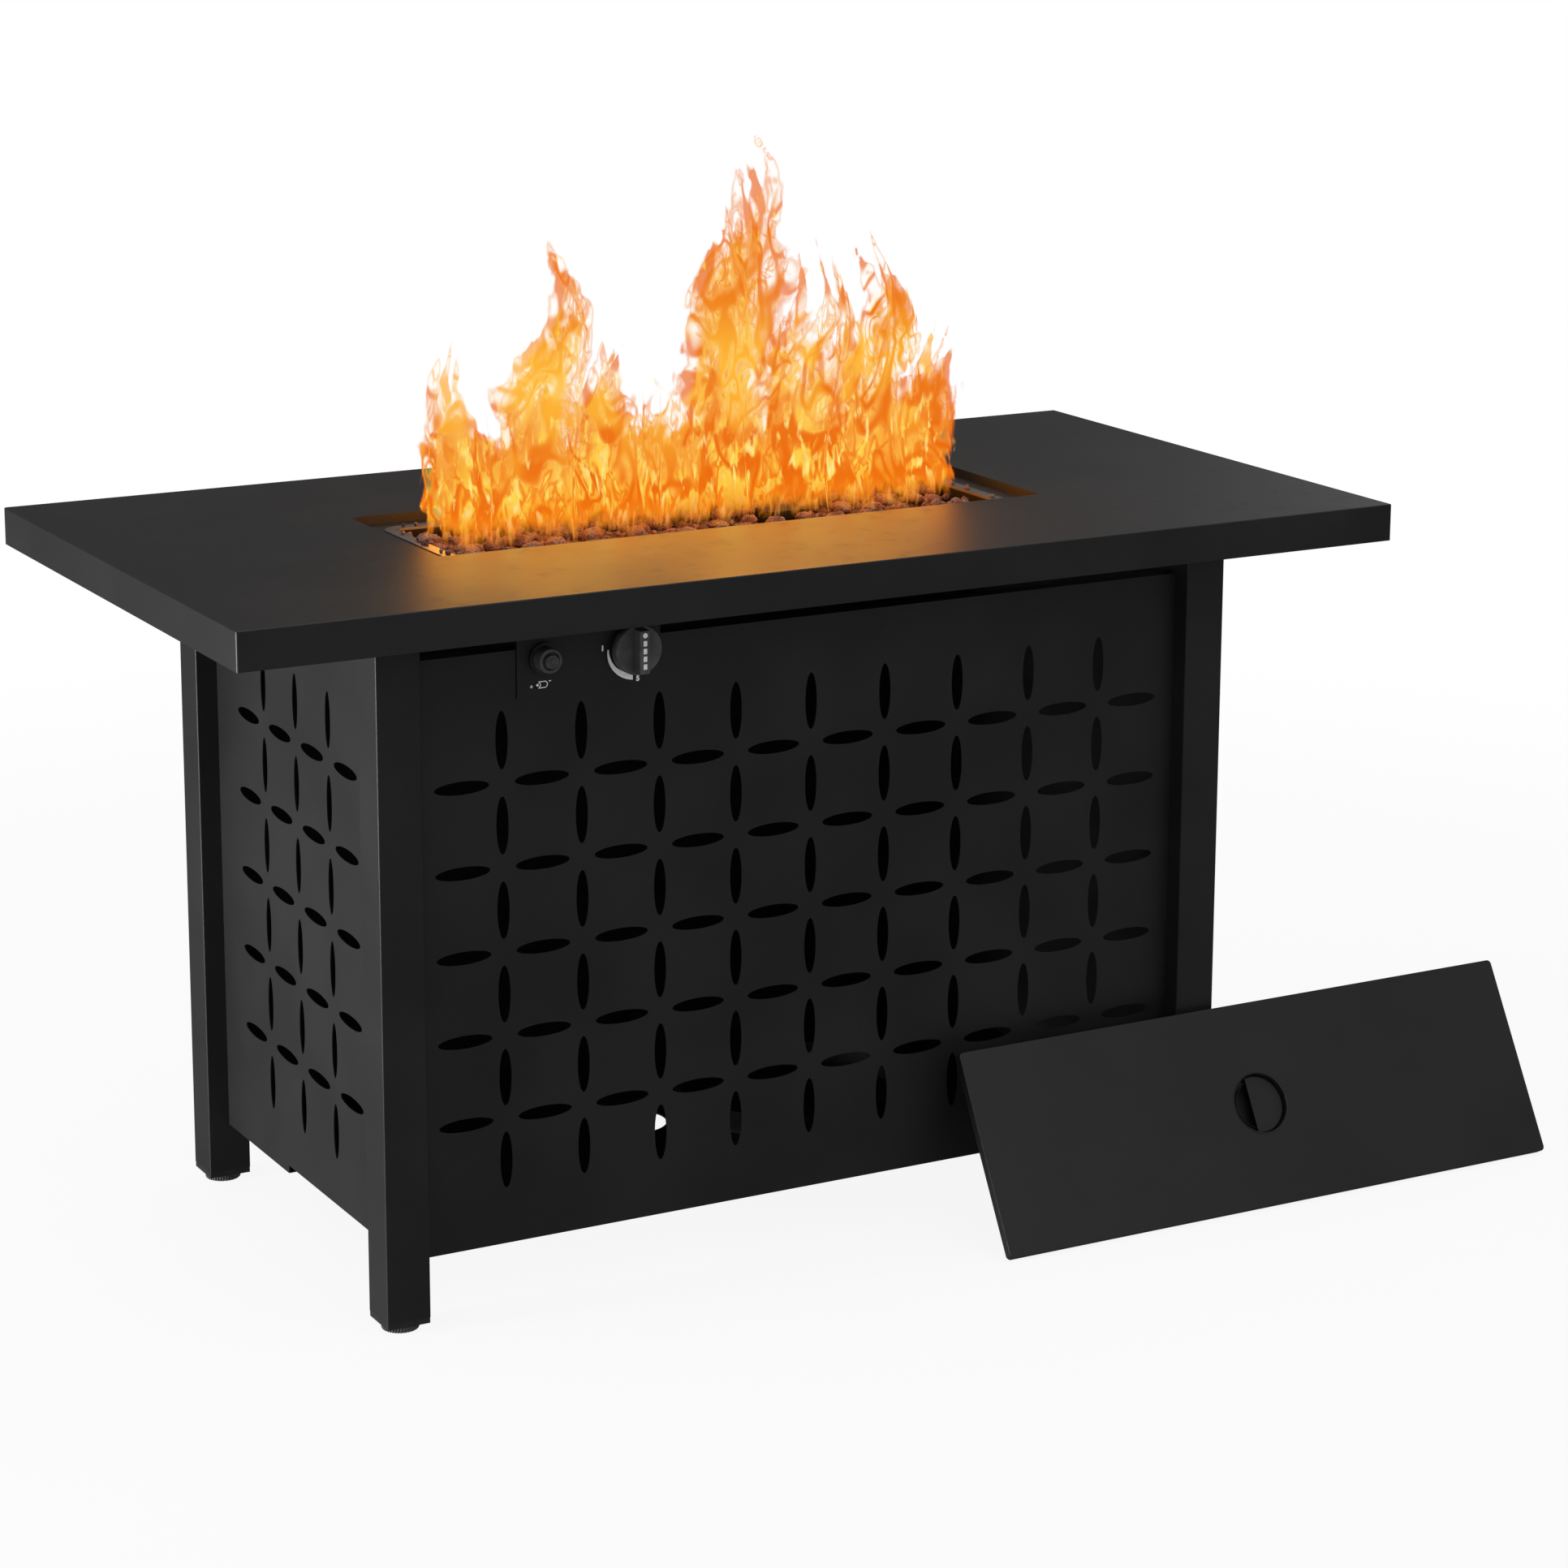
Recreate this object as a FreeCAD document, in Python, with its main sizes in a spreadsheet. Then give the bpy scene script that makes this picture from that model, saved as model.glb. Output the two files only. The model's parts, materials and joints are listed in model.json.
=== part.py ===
import FreeCAD, Part
import math
import os
import random
import re

import Sketcher
from FreeCAD import Placement, Rotation, Vector

# Gas fire pit table. The origin is on the floor under the centre of the table, X runs along the
# table, Y from the control side to the back, Z up. All sizes are millimetres.

SIZES = {
    # Table top
    "table_length": 1067,
    "table_width": 546,
    "table_height": 610,
    "top_sheet": 1.5,
    "lip_height": 32,
    "lip_corner": 2,
    "lip_edge": 1,
    "opening_length": 576,
    "opening_width": 184,
    "opening_corner": 6,
    "ledge_depth": 8,
    "ledge_width": 26,
    # Legs and feet
    "leg_side": 38,
    "leg_wall": 1.5,
    "leg_corner": 1.2,
    "leg_inset_end": 135.5,
    "leg_inset_front": 56,
    "collar_height": 5,
    "collar_step": 0.5,
    "plug_depth": 26,
    "foot_height": 6.4,
    "foot_radius": 15.5,
    "foot_edge": 1,
    "stud_radius": 4,
    "stud_length": 24,
    "foot_travel": 12,
    "bracket_sheet": 3,
    "bracket_width": 34,
    "bracket_reach": 40,
    "bolt_radius": 3,
    "bolt_spread": 20,
    # Panels
    "panel_sheet": 1,
    "panel_recess": 19,
    "panel_drop": 58,
    "panel_clearance": 54.5,
    "panel_flange": 15,
    "oval_length": 48,
    "oval_width": 11,
    "oval_pitch": 70.6,
    "oval_drop": 130.4,
    "oval_rows": 6,
    "front_columns": 9,
    "end_columns": 3,
    "foot_notch_height": 7,
    "foot_notch_length": 217,
    "panel_screw_inset": 45,
    # Tray for the gas cylinder
    "tray_sheet": 1,
    "tray_flange": 12,
    "tray_slot_length": 58,
    "tray_slot_place": -33,
    "tray_slot_height": 7,
    "tray_vent_radius": 30,
    "tray_vent_x": -62,
    "tray_vent_y": 12,
    "cylinder_foot_radius": 102,
    "cylinder_place": 90,
    "ring_sheet": 1.5,
    "ring_height": 20,
    # Access door
    "door_gap": 3,
    "door_flange": 8,
    "hinge_inset": 6,
    "hinge_pin_radius": 2.5,
    "hinge_pin_length": 8,
    "hinge_sheet": 2,
    "hinge_width": 14,
    "hinge_ear": 24,
    "magnet_height": 40,
    "magnet_width": 18,
    "magnet_reach": 14,
    "striker_height": 28,
    "striker_reach": 12,
    "pull_radius": 8,
    "pull_height": 16,
    "pull_inset": 24,
    "pull_drop": 90,
    # Control plate, gas valve and knob
    "plate_centre": -205,
    "plate_width": 128,
    "plate_drop": 98,
    "plate_sheet": 1.5,
    "plate_overlap": 8,
    "plate_flange": 25,
    "control_drop": 66.5,
    "knob_place": 39,
    "igniter_place": -41,
    "knob_radius": 21,
    "knob_standoff": 3.8,
    "knob_disc": 8.7,
    "grip_height": 10.5,
    "grip_width": 10,
    "grip_length": 37,
    "grip_edge": 1.2,
    "knob_bore_depth": 12,
    "stem_radius": 4,
    "stem_reach": 24,
    "stem_hole": 5.5,
    "collar_place": 2,
    "collar_sheet": 2,
    "neck_bore": 7.5,
    "neck_wall": 3.5,
    "neck_depth": 14,
    "valve_width": 26,
    "valve_tall": 34,
    "valve_depth": 30,
    "valve_flange": 3,
    "valve_flange_tall": 44,
    "valve_stud_spread": 32,
    "valve_stud_radius": 2,
    "valve_stud_length": 9,
    "nut_sheet": 3,
    "spring_wire": 0.5,
    "spring_turns": 4,
    "inlet_radius": 7.94,
    "inlet_length": 14,
    "inlet_hex": 17,
    "inlet_hex_height": 6,
    # Igniter
    "bezel_radius": 12.7,
    "bezel_sheet": 3.2,
    "barrel_radius": 10.8,
    "barrel_length": 62,
    "cap_bore": 8.2,
    "cap_bore_depth": 8,
    "cell_radius": 5.25,
    "cell_length": 44.5,
    "cell_bore_depth": 58,
    "cap_radius": 10.3,
    "cap_height": 12,
    "cap_thread": 9.5,
    "button_radius": 7,
    "button_proud": 3,
    "button_stem": 3,
    "button_clearance": 0.3,
    "barrel_nut_hex": 25,
    "barrel_nut_sheet": 5,
    # Burner
    "pan_length": 520,
    "pan_width": 128,
    "pan_depth": 46,
    "pan_sheet": 0.8,
    "rim_width": 10,
    "pan_corner": 8,
    "burner_radius": 9.5,
    "burner_wall": 1.2,
    "burner_length": 420,
    "burner_lift": 3,
    "port_radius": 1.25,
    "port_pitch": 20,
    "strap_place": 150,
    "strap_width": 12,
    "strap_sheet": 1.2,
    "feed_place": -60,
    "feed_radius": 9,
    "feed_length": 34,
    "mixer_wall": 1.5,
    "mixer_length": 44,
    "mixer_window": 8,
    "mixer_window_tall": 14,
    "orifice_radius": 7,
    "orifice_height": 20,
    "orifice_reach": 14,
    "pipe_radius": 4,
    "pipe_wall": 1,
    "pipe_bend": 14,
    "pipe_out": 39,
    "pipe_nut_hex": 14,
    "pipe_nut_length": 10,
    "hood_place": 95,
    "hood_offset": 14,
    "hood_length": 40,
    "hood_width": 26,
    "hood_height": 38,
    "rod_drop": 17,
    "electrode_radius": 3.5,
    "electrode_height": 24,
    "sensor_radius": 2.5,
    "sensor_height": 27,
    "bed_height": 25.2,
    "rock_largest": 14.5,
    "rock_smallest": 7,
    "rock_tallest": 19.4,
    # Lid
    "lid_length": 570,
    "lid_width": 180,
    "lid_depth": 8,
    "lid_sheet": 1.2,
    "lid_corner": 4,
    "lid_edge": 0.6,
    "lid_place": 416.5,
    "lean_angle": 30,
    "pull_rim": 27.8,
    "pull_rim_height": 0.5,
    "pull_recess": 26.1,
    "pull_recess_depth": 9,
    "pull_pocket": 20.8,
    "pull_pocket_depth": 13.2,
    "pull_sheet": 0.8,
    "grip_plate_radius": 24.8,
    "grip_plate_depth": 5,
    "grip_plate_sheet": 1,
    "grip_plate_cut": 6.7,
    # Fits and small screws
    "seat_gap": 0.3,
    "running_gap": 0.1,
    "screw_radius": 1.9,
    "screw_length": 8,
    "screw_head": 3.6,
    "screw_head_height": 2.2,
}

DERIVED = {
    "leg_x": "table_length / 2 - leg_inset_end - leg_side / 2",
    "leg_y": "table_width / 2 - leg_inset_front - leg_side / 2",
    "leg_bottom": "foot_height + collar_height",
    "leg_length": "table_height - top_sheet - foot_height - collar_height",
    "front_span": "2 * (leg_x - leg_side / 2)",
    "end_span": "2 * (leg_y - leg_side / 2)",
    "panel_x": "table_length / 2 - leg_inset_end - panel_recess",
    "panel_y": "table_width / 2 - leg_inset_front - panel_recess",
    "panel_height": "table_height - panel_drop - panel_clearance",
    "top_under": "table_height - top_sheet",
    "ledge_top": "table_height - ledge_depth",
    "tray_level": "panel_clearance + panel_sheet",
    "control_level": "table_height - control_drop",
    "plate_bottom": "table_height - plate_drop",
    "plate_height": "plate_drop - top_sheet",
    "plate_front": "-panel_y - plate_sheet",
    "knob_x": "plate_centre + knob_place",
    "igniter_x": "plate_centre + igniter_place",
    "knob_face": "knob_standoff + knob_disc",
    "hinge_x": "panel_x - door_flange / 2",
    "hinge_y": "end_span / 2 - door_gap - hinge_inset",
    "valve_back": "-panel_y + neck_depth + valve_depth",
    "inlet_y": "-panel_y + neck_depth + valve_depth / 2",
    "pan_floor": "ledge_top - pan_depth + pan_sheet",
    "burner_axis": "pan_floor + burner_lift + burner_radius",
    "mixer_bore": "feed_radius + seat_gap",
    "mixer_bottom": "pan_floor - pan_sheet - mixer_length",
    "pipe_level": "mixer_bottom - orifice_height / 2",
    "bed_bottom": "pan_floor + seat_gap",
    "bed_top": "pan_floor + bed_height",
    "lid_lift": "lid_depth * sin(lean_angle)",
    "lid_back": "leg_y + leg_side / 2 + seat_gap + lid_width * sin(lean_angle) + lid_depth * cos(lean_angle)",
}

doc = FreeCAD.newDocument("fire_pit_table")
sheet = doc.addObject("Spreadsheet::Sheet", "Sizes")
parts = []


def fill_sheet():
    """Driving sizes first, then the places worked out from them."""
    row = 0
    for alias, number in SIZES.items():
        row += 1
        sheet.set(f"A{row}", alias.replace("_", " "))
        sheet.set(f"B{row}", str(number))
        sheet.setAlias(f"B{row}", alias)
    for alias, formula in DERIVED.items():
        row += 1
        sheet.set(f"A{row}", alias.replace("_", " "))
        sheet.set(f"B{row}", "=" + formula)
        sheet.setAlias(f"B{row}", alias)
    doc.recompute()


def linked(expression):
    """The expression with every size's name pointed at the sheet."""
    names = set(SIZES) | set(DERIVED)
    return re.sub(r"[a-z_]+", lambda m: "Sizes." + m[0] if m[0] in names else m[0], str(expression))


def value(expression):
    return float(sheet.evalExpression(linked(expression)))


def bind(thing, prop, expression):
    thing.setExpression(prop, linked(expression))


def place(thing, x="0", y="0", z="0", rotation=None):
    """Put a finished piece at x, y, z; the turn, if any, is a fixed one."""
    if rotation is not None:
        thing.Placement = Placement(Vector(), rotation)
    for axis, expression in zip("xyz", (x, y, z)):
        bind(thing, f"Placement.Base.{axis}", expression)


def keep(thing, label):
    thing.Label = label
    parts.append(thing)
    return thing


def dimension(sketch, kind, where, expression):
    """A driving constraint whose number follows the sheet."""
    index = sketch.addConstraint(Sketcher.Constraint(kind, *where, value(expression)))
    bind(sketch, f"Constraints[{index}]", expression)


def outline(sketch, corners):
    """Closed outline through corners, each an x and a y expression."""
    spots = [Vector(value(x), value(y), 0) for x, y in corners]
    first = sketch.GeometryCount
    count = len(spots)
    for i, spot in enumerate(spots):
        sketch.addGeometry(Part.LineSegment(spot, spots[(i + 1) % count]), False)
    for i in range(count):
        sketch.addConstraint(Sketcher.Constraint("Coincident", first + i, 2, first + (i + 1) % count, 1))
    for i, (x, y) in enumerate(corners):
        dimension(sketch, "DistanceX", (-1, 1, first + i, 1), x)
        dimension(sketch, "DistanceY", (-1, 1, first + i, 1), y)


def rectangle(sketch, width, height, x="0", y="0"):
    """Rectangle about the point x, y."""
    left, right = f"{x} - ({width}) / 2", f"{x} + ({width}) / 2"
    low, high = f"{y} - ({height}) / 2", f"{y} + ({height}) / 2"
    outline(sketch, ((left, low), (right, low), (right, high), (left, high)))


def circle(sketch, radius, x="0", y="0"):
    drawn = Part.Circle(Vector(value(x), value(y), 0), Vector(0, 0, 1), value(radius))
    index = sketch.addGeometry(drawn, False)
    dimension(sketch, "DistanceX", (-1, 1, index, 3), x)
    dimension(sketch, "DistanceY", (-1, 1, index, 3), y)
    dimension(sketch, "Radius", (index,), radius)


def ellipse(sketch, x, y, upright):
    """One cut-out of the panels, upright or level."""
    centre = Vector(value(x), value(y), 0)
    long_way = Vector(0, 1, 0) if upright else Vector(1, 0, 0)
    short_way = Vector(-long_way.y, long_way.x, 0)
    tip = centre + long_way * value("oval_length / 2")
    side = centre + short_way * value("oval_width / 2")
    index = sketch.addGeometry(Part.Ellipse(tip, side, centre), False)
    sketch.exposeInternalGeometry(index)
    sketch.addConstraint(Sketcher.Constraint("Vertical" if upright else "Horizontal", index + 1))
    dimension(sketch, "DistanceX", (-1, 1, index, 3), x)
    dimension(sketch, "DistanceY", (-1, 1, index, 3), y)
    dimension(sketch, "Distance", (index + 1,), "oval_length")
    dimension(sketch, "Distance", (index + 2,), "oval_width")


class Piece:
    """A body built from sketches on its own origin planes."""

    def __init__(self, label):
        self.body = keep(doc.addObject("PartDesign::Body", label), label)

    def add(self, kind):
        return self.body.newObject("PartDesign::" + kind, self.body.Name + kind)

    def sketch(self, plane, offset="0"):
        drawn = self.body.newObject("Sketcher::SketchObject", self.body.Name + "Sketch")
        base = next(f for f in self.body.Origin.OriginFeatures if f.Role == plane + "_Plane")
        drawn.AttachmentSupport = [(base, "")]
        drawn.MapMode = "FlatFace"
        bind(drawn, "AttachmentOffset.Base.z", offset)
        return drawn

    def pad(self, drawn, length, back=False):
        feature = self.add("Pad")
        feature.Profile = drawn
        feature.Reversed = back
        bind(feature, "Length", length)
        doc.recompute()
        return feature

    def pocket(self, drawn, length=None, back=False):
        """Cut along the plane's normal, or against it if back."""
        before = self.body.Shape.Volume
        feature = self.add("Pocket")
        feature.Profile = drawn
        feature.Reversed = not back
        if length is None:
            feature.Type = "ThroughAll"
        else:
            bind(feature, "Length", length)
        doc.recompute()
        if not self.body.Shape.Volume < before:
            raise RuntimeError(f"{self.body.Label}: a pocket cuts nothing")
        return feature

    def revolve(self, drawn):
        feature = self.add("Revolution")
        feature.Profile = drawn
        feature.ReferenceAxis = (drawn, ["V_Axis"])
        feature.Angle = 360
        doc.recompute()
        return feature

    def spread(self, feature, drawn, columns, rows, pitch):
        """Repeat a feature along the sketch's level axis and down its upright one.

        The second direction makes one row fewer than its number of occurrences.
        """
        pattern = self.add("LinearPattern")
        pattern.Originals = [feature]
        pattern.Direction = (drawn, ["H_Axis"])
        pattern.Direction2 = (drawn, ["V_Axis"])
        pattern.Mode = "Spacing"
        pattern.Mode2 = "Spacing"
        pattern.Reversed2 = True
        bind(pattern, "Offset", pitch)
        bind(pattern, "Offset2", pitch)
        bind(pattern, "Occurrences", columns)
        bind(pattern, "Occurrences2", f"{rows} + 1")
        self.body.Tip = pattern
        doc.recompute()

    def fillet(self, radius, chosen):
        """Round the edges that the test picks."""
        tip = self.body.Tip
        names = [f"Edge{i + 1}" for i, edge in enumerate(tip.Shape.Edges) if chosen(edge)]
        feature = self.add("Fillet")
        feature.Base = (tip, names)
        bind(feature, "Radius", radius)
        doc.recompute()


def upright(edge):
    ends = [v.Point for v in edge.Vertexes]
    if len(ends) != 2:
        return False
    run = ends[1] - ends[0]
    return abs(run.z) > 0.99 * run.Length


def outward_corner(half_x, half_y):
    """Picks upright edges at the corners of a rectangle about the origin."""
    def chosen(edge):
        spot = edge.CenterOfMass
        return upright(edge) and abs(abs(spot.x) - half_x) < 0.01 and abs(abs(spot.y) - half_y) < 0.01
    return chosen


def box(name, width, depth, height, x, y, z):
    """Box whose lowest corner is at x, y, z."""
    solid = doc.addObject("Part::Box", name)
    for prop, expression in (("Length", width), ("Width", depth), ("Height", height)):
        bind(solid, prop, expression)
    place(solid, x, y, z)
    return solid


def cylinder(name, radius, height, x, y, z, rotation=None):
    solid = doc.addObject("Part::Cylinder", name)
    bind(solid, "Radius", radius)
    bind(solid, "Height", height)
    place(solid, x, y, z, rotation)
    return solid


def hexagon(name, across, height, x, y, z, rotation=None):
    """Hexagonal prism of a given width across its flats."""
    solid = doc.addObject("Part::Prism", name)
    solid.Polygon = 6
    bind(solid, "Circumradius", f"({across}) / 2 / cos(30)")
    bind(solid, "Height", height)
    place(solid, x, y, z, rotation)
    return solid


def fuse(name, solids):
    joined = doc.addObject("Part::MultiFuse", name)
    joined.Shapes = solids
    return joined


def cut(name, base, tool):
    made = doc.addObject("Part::Cut", name)
    made.Base = base
    made.Tool = tool
    return made


def group(label, solids):
    """Like pieces that share one node."""
    made = doc.addObject("Part::Compound", label)
    made.Links = solids
    return keep(made, label)


# A piece turned this way has its own Z axis along the named direction of the table.
TOWARDS = {
    "+x": Rotation(Vector(0, 1, 0), 90),
    "-x": Rotation(Vector(0, 1, 0), -90),
    "+y": Rotation(Vector(1, 0, 0), -90),
    "-y": Rotation(Vector(1, 0, 0), 90),
    "+z": Rotation(),
    "-z": Rotation(Vector(1, 0, 0), 180),
}
CORNERS = [(name, sx, sy) for sy, name_y in ((-1, "front"), (1, "rear"))
           for sx, name in ((-1, name_y + "_left"), (1, name_y + "_right"))]


def screw(name, way, x, y, z, head, head_height, radius, length):
    """Round-headed screw; its head seats at x, y, z and its shank runs the given way."""
    sign = -1 if way[0] == "-" else 1
    shift = {axis: "0" for axis in "xyz"}
    shift[way[1]] = f"{-sign} * ({head_height})"
    cap = cylinder(name + "Head", head, head_height,
                   f"{x} + {shift['x']}", f"{y} + {shift['y']}", f"{z} + {shift['z']}", TOWARDS[way])
    shank = cylinder(name + "Shank", radius, length, x, y, z, TOWARDS[way])
    return fuse(name, [cap, shank])


def small_screw(name, way, x, y, z):
    return screw(name, way, x, y, z, "screw_head", "screw_head_height", "screw_radius", "screw_length")


def make_table_top():
    """Folded sheet: plate, lip, and the sunk ledge round the opening; studs hold the legs."""
    top = Piece("table_top")
    drawn = top.sketch("XY", "table_height - lip_height")
    rectangle(drawn, "table_length", "table_width")
    top.pad(drawn, "lip_height")
    top.fillet("lip_corner", outward_corner(value("table_length / 2"), value("table_width / 2")))
    drawn = top.sketch("XY", "table_height - lip_height")
    rectangle(drawn, "table_length - 2 * top_sheet", "table_width - 2 * top_sheet")
    rectangle(drawn, "opening_length + 2 * top_sheet", "opening_width + 2 * top_sheet")
    top.pocket(drawn, "lip_height - top_sheet")
    drawn = top.sketch("XY", "table_height - lip_height")
    rectangle(drawn, "opening_length + 4 * top_sheet", "opening_width + 4 * top_sheet")
    top.pocket(drawn, "lip_height - ledge_depth - top_sheet")
    drawn = top.sketch("XY", "table_height - lip_height")
    rectangle(drawn, "opening_length - 2 * ledge_width", "opening_width - 2 * ledge_width")
    top.pocket(drawn)
    drawn = top.sketch("XY", "table_height - ledge_depth")
    rectangle(drawn, "opening_length", "opening_width")
    top.pocket(drawn)
    top.fillet("opening_corner", outward_corner(value("opening_length / 2"), value("opening_width / 2")))
    drawn = top.sketch("XY", "top_under")
    for _, sx, sy in CORNERS:
        circle(drawn, "bolt_radius", f"{sx} * (leg_x - leg_side / 2 - bracket_reach / 2)", f"{sy} * leg_y")
    top.pad(drawn, "bracket_sheet + 3 * nut_sheet", back=True)
    high, half_x, half_y = value("table_height"), value("table_length / 2"), value("table_width / 2")

    def rim(edge):
        spot = edge.CenterOfMass
        at_side = abs(spot.x) > half_x - 3 or abs(spot.y) > half_y - 3
        return at_side and all(abs(v.Z - high) < 0.01 for v in edge.Vertexes)

    top.fillet("lip_edge", rim)


def make_leg(name, sx, sy):
    """Square tube, with holes for the panel screws and the bracket bolts in its inner walls."""
    leg = Piece("leg_" + name)
    drawn = leg.sketch("XY")
    rectangle(drawn, "leg_side", "leg_side")
    leg.pad(drawn, "leg_length")
    half = value("leg_side / 2")
    leg.fillet("leg_corner", outward_corner(half, half))
    drawn = leg.sketch("XY")
    rectangle(drawn, "leg_side - 2 * leg_wall", "leg_side - 2 * leg_wall")
    leg.pocket(drawn)
    low = "panel_clearance - leg_bottom + panel_screw_inset"
    high = "panel_clearance - leg_bottom + panel_height - panel_screw_inset"
    middle = "leg_length - bracket_sheet - bracket_reach / 2"
    drawn = leg.sketch("YZ", f"{-sx} * leg_side")
    for level in (low, high):
        circle(drawn, "screw_radius + running_gap", f"{-sy} * (leg_y - panel_y + panel_flange / 2)", level)
    for side in (-1, 1):
        circle(drawn, "bolt_radius + running_gap", f"{side} * bolt_spread / 2", middle)
    leg.pocket(drawn, "leg_side", back=sx < 0)
    if sx < 0:
        drawn = leg.sketch("XZ", f"{sy} * leg_side")
        for level in (low, high):
            circle(drawn, "screw_radius + running_gap",
                   f"{-sx} * (leg_x - panel_x + panel_flange / 2)", level)
        leg.pocket(drawn, "leg_side", back=sy > 0)
    place(leg.body, f"{sx} * leg_x", f"{sy} * leg_y", "leg_bottom")


def make_leg_plugs():
    """Plastic end plugs: a collar under the tube, a block inside it and a bore for the foot's stud."""
    plugs = []
    for name, sx, sy in CORNERS:
        x, y = f"{sx} * leg_x", f"{sy} * leg_y"
        wide = "leg_side - 2 * collar_step"
        inner = "leg_side - 2 * leg_wall - 2 * seat_gap"
        collar = box("PlugCollar", wide, wide, "collar_height", f"{x} - ({wide}) / 2", f"{y} - ({wide}) / 2",
                     "foot_height")
        block = box("PlugBlock", inner, inner, "plug_depth", f"{x} - ({inner}) / 2", f"{y} - ({inner}) / 2",
                    "leg_bottom")
        bore = cylinder("PlugBore", "stud_radius + running_gap", "plug_depth + 2 * collar_height", x, y,
                        "foot_height - collar_height / 2")
        plugs.append(cut("Plug", fuse("PlugBody", [collar, block]), bore))
    group("leg_plugs", plugs)


def make_foot(name, sx, sy):
    """Levelling foot: a round pad on a threaded stud."""
    foot = Piece("foot_" + name)
    drawn = foot.sketch("XZ")
    outline(drawn, (("0", "0"), ("foot_radius", "0"), ("foot_radius", "foot_height - seat_gap"),
                    ("stud_radius", "foot_height - seat_gap"), ("stud_radius", "foot_height + stud_length"),
                    ("0", "foot_height + stud_length")))
    foot.revolve(drawn)
    place(foot.body, f"{sx} * leg_x", f"{sy} * leg_y")


def make_leg_brackets():
    """Angle brackets that hold each leg to the underside of the top, with their bolts and nuts."""
    angles, bolts, nuts = [], [], []
    for name, sx, sy in CORNERS:
        face = "leg_x - leg_side / 2"
        near = face if sx < 0 else f"({face} - bracket_sheet)"
        far = face if sx < 0 else f"({face} - bracket_reach)"
        x_up = f"{sx} * {near}" if sx > 0 else f"-({near})"
        x_flat = f"{sx} * {far}" if sx > 0 else f"-({far})"
        y_low = f"{sy} * leg_y - bracket_width / 2"
        upright_leaf = box("BracketUpright", "bracket_sheet", "bracket_width", "bracket_reach", x_up, y_low,
                           "top_under - bracket_reach")
        level_leaf = box("BracketLevel", "bracket_reach", "bracket_width", "bracket_sheet", x_flat, y_low,
                         "top_under - bracket_sheet")
        holes = [cylinder("BracketStudHole", "bolt_radius + running_gap", "2 * bracket_reach",
                          f"{sx} * ({face} - bracket_reach / 2)", f"{sy} * leg_y",
                          "top_under - bracket_reach")]
        level = "top_under - bracket_sheet - bracket_reach / 2"
        for side in (-1, 1):
            y = f"{sy} * leg_y + {side} * bolt_spread / 2"
            holes.append(cylinder("BracketBoltHole", "bolt_radius + running_gap", "bracket_reach",
                                  f"{sx} * ({face}) - bracket_reach / 2", y, level, TOWARDS["+x"]))
            bolts.append(screw("BracketBolt", "+x" if sx > 0 else "-x", f"{sx} * ({face} - bracket_sheet)", y,
                               level, "1.8 * bolt_radius", "1.2 * bolt_radius", "bolt_radius",
                               "bracket_sheet + leg_wall + 2 * bolt_radius"))
        angles.append(cut("Bracket", fuse("BracketBody", [upright_leaf, level_leaf]),
                          fuse("BracketHoles", holes)))
        nut = hexagon("TopNut", "3.4 * bolt_radius", "2 * nut_sheet", f"{sx} * ({face} - bracket_reach / 2)",
                      f"{sy} * leg_y", "top_under - bracket_sheet - 2 * nut_sheet")
        hole = cylinder("TopNutHole", "bolt_radius + running_gap", "4 * nut_sheet",
                        f"{sx} * ({face} - bracket_reach / 2)", f"{sy} * leg_y",
                        "top_under - bracket_sheet - 3 * nut_sheet")
        nuts.append(cut("TopStudNut", nut, hole))
    group("leg_brackets", angles)
    group("bracket_bolts", bolts)
    group("top_nuts", nuts)


def panel(label, width, flange):
    """Folded sheet panel: outer face on the XZ plane, foot at Z zero, flanges inwards along Y."""
    made = Piece(label)
    drawn = made.sketch("XZ")
    rectangle(drawn, width, "panel_height", y="panel_height / 2")
    made.pad(drawn, flange, back=True)
    drawn = made.sketch("XZ", "-panel_sheet")
    rectangle(drawn, f"{width} - 2 * panel_sheet", "panel_height - 2 * panel_sheet", y="panel_height / 2")
    made.pocket(drawn, flange, back=True)
    return made


def pierce(made, columns):
    """Cut rows of upright ellipses through a panel, with rows of level ones between them."""
    top_row = "table_height - oval_drop - panel_clearance"
    for turned, more in ((True, 0), (False, 1)):
        drawn = made.sketch("XZ")
        ellipse(drawn, f"-({columns} - 1 + {more}) * oval_pitch / 2", f"{top_row} - {more} * oval_pitch / 2",
                turned)
        feature = made.pocket(drawn, "2 * panel_sheet", back=True)
        made.spread(feature, drawn, f"{columns} + {more}", f"oval_rows - {more}", "oval_pitch")


def drill_flanges(made, width, flange):
    """Screw holes through both side flanges."""
    drawn = made.sketch("YZ", f"-({width}) / 2")
    for level in ("panel_screw_inset", "panel_height - panel_screw_inset"):
        circle(drawn, "screw_radius + running_gap", f"{flange} / 2", level)
    made.pocket(drawn)


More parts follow.
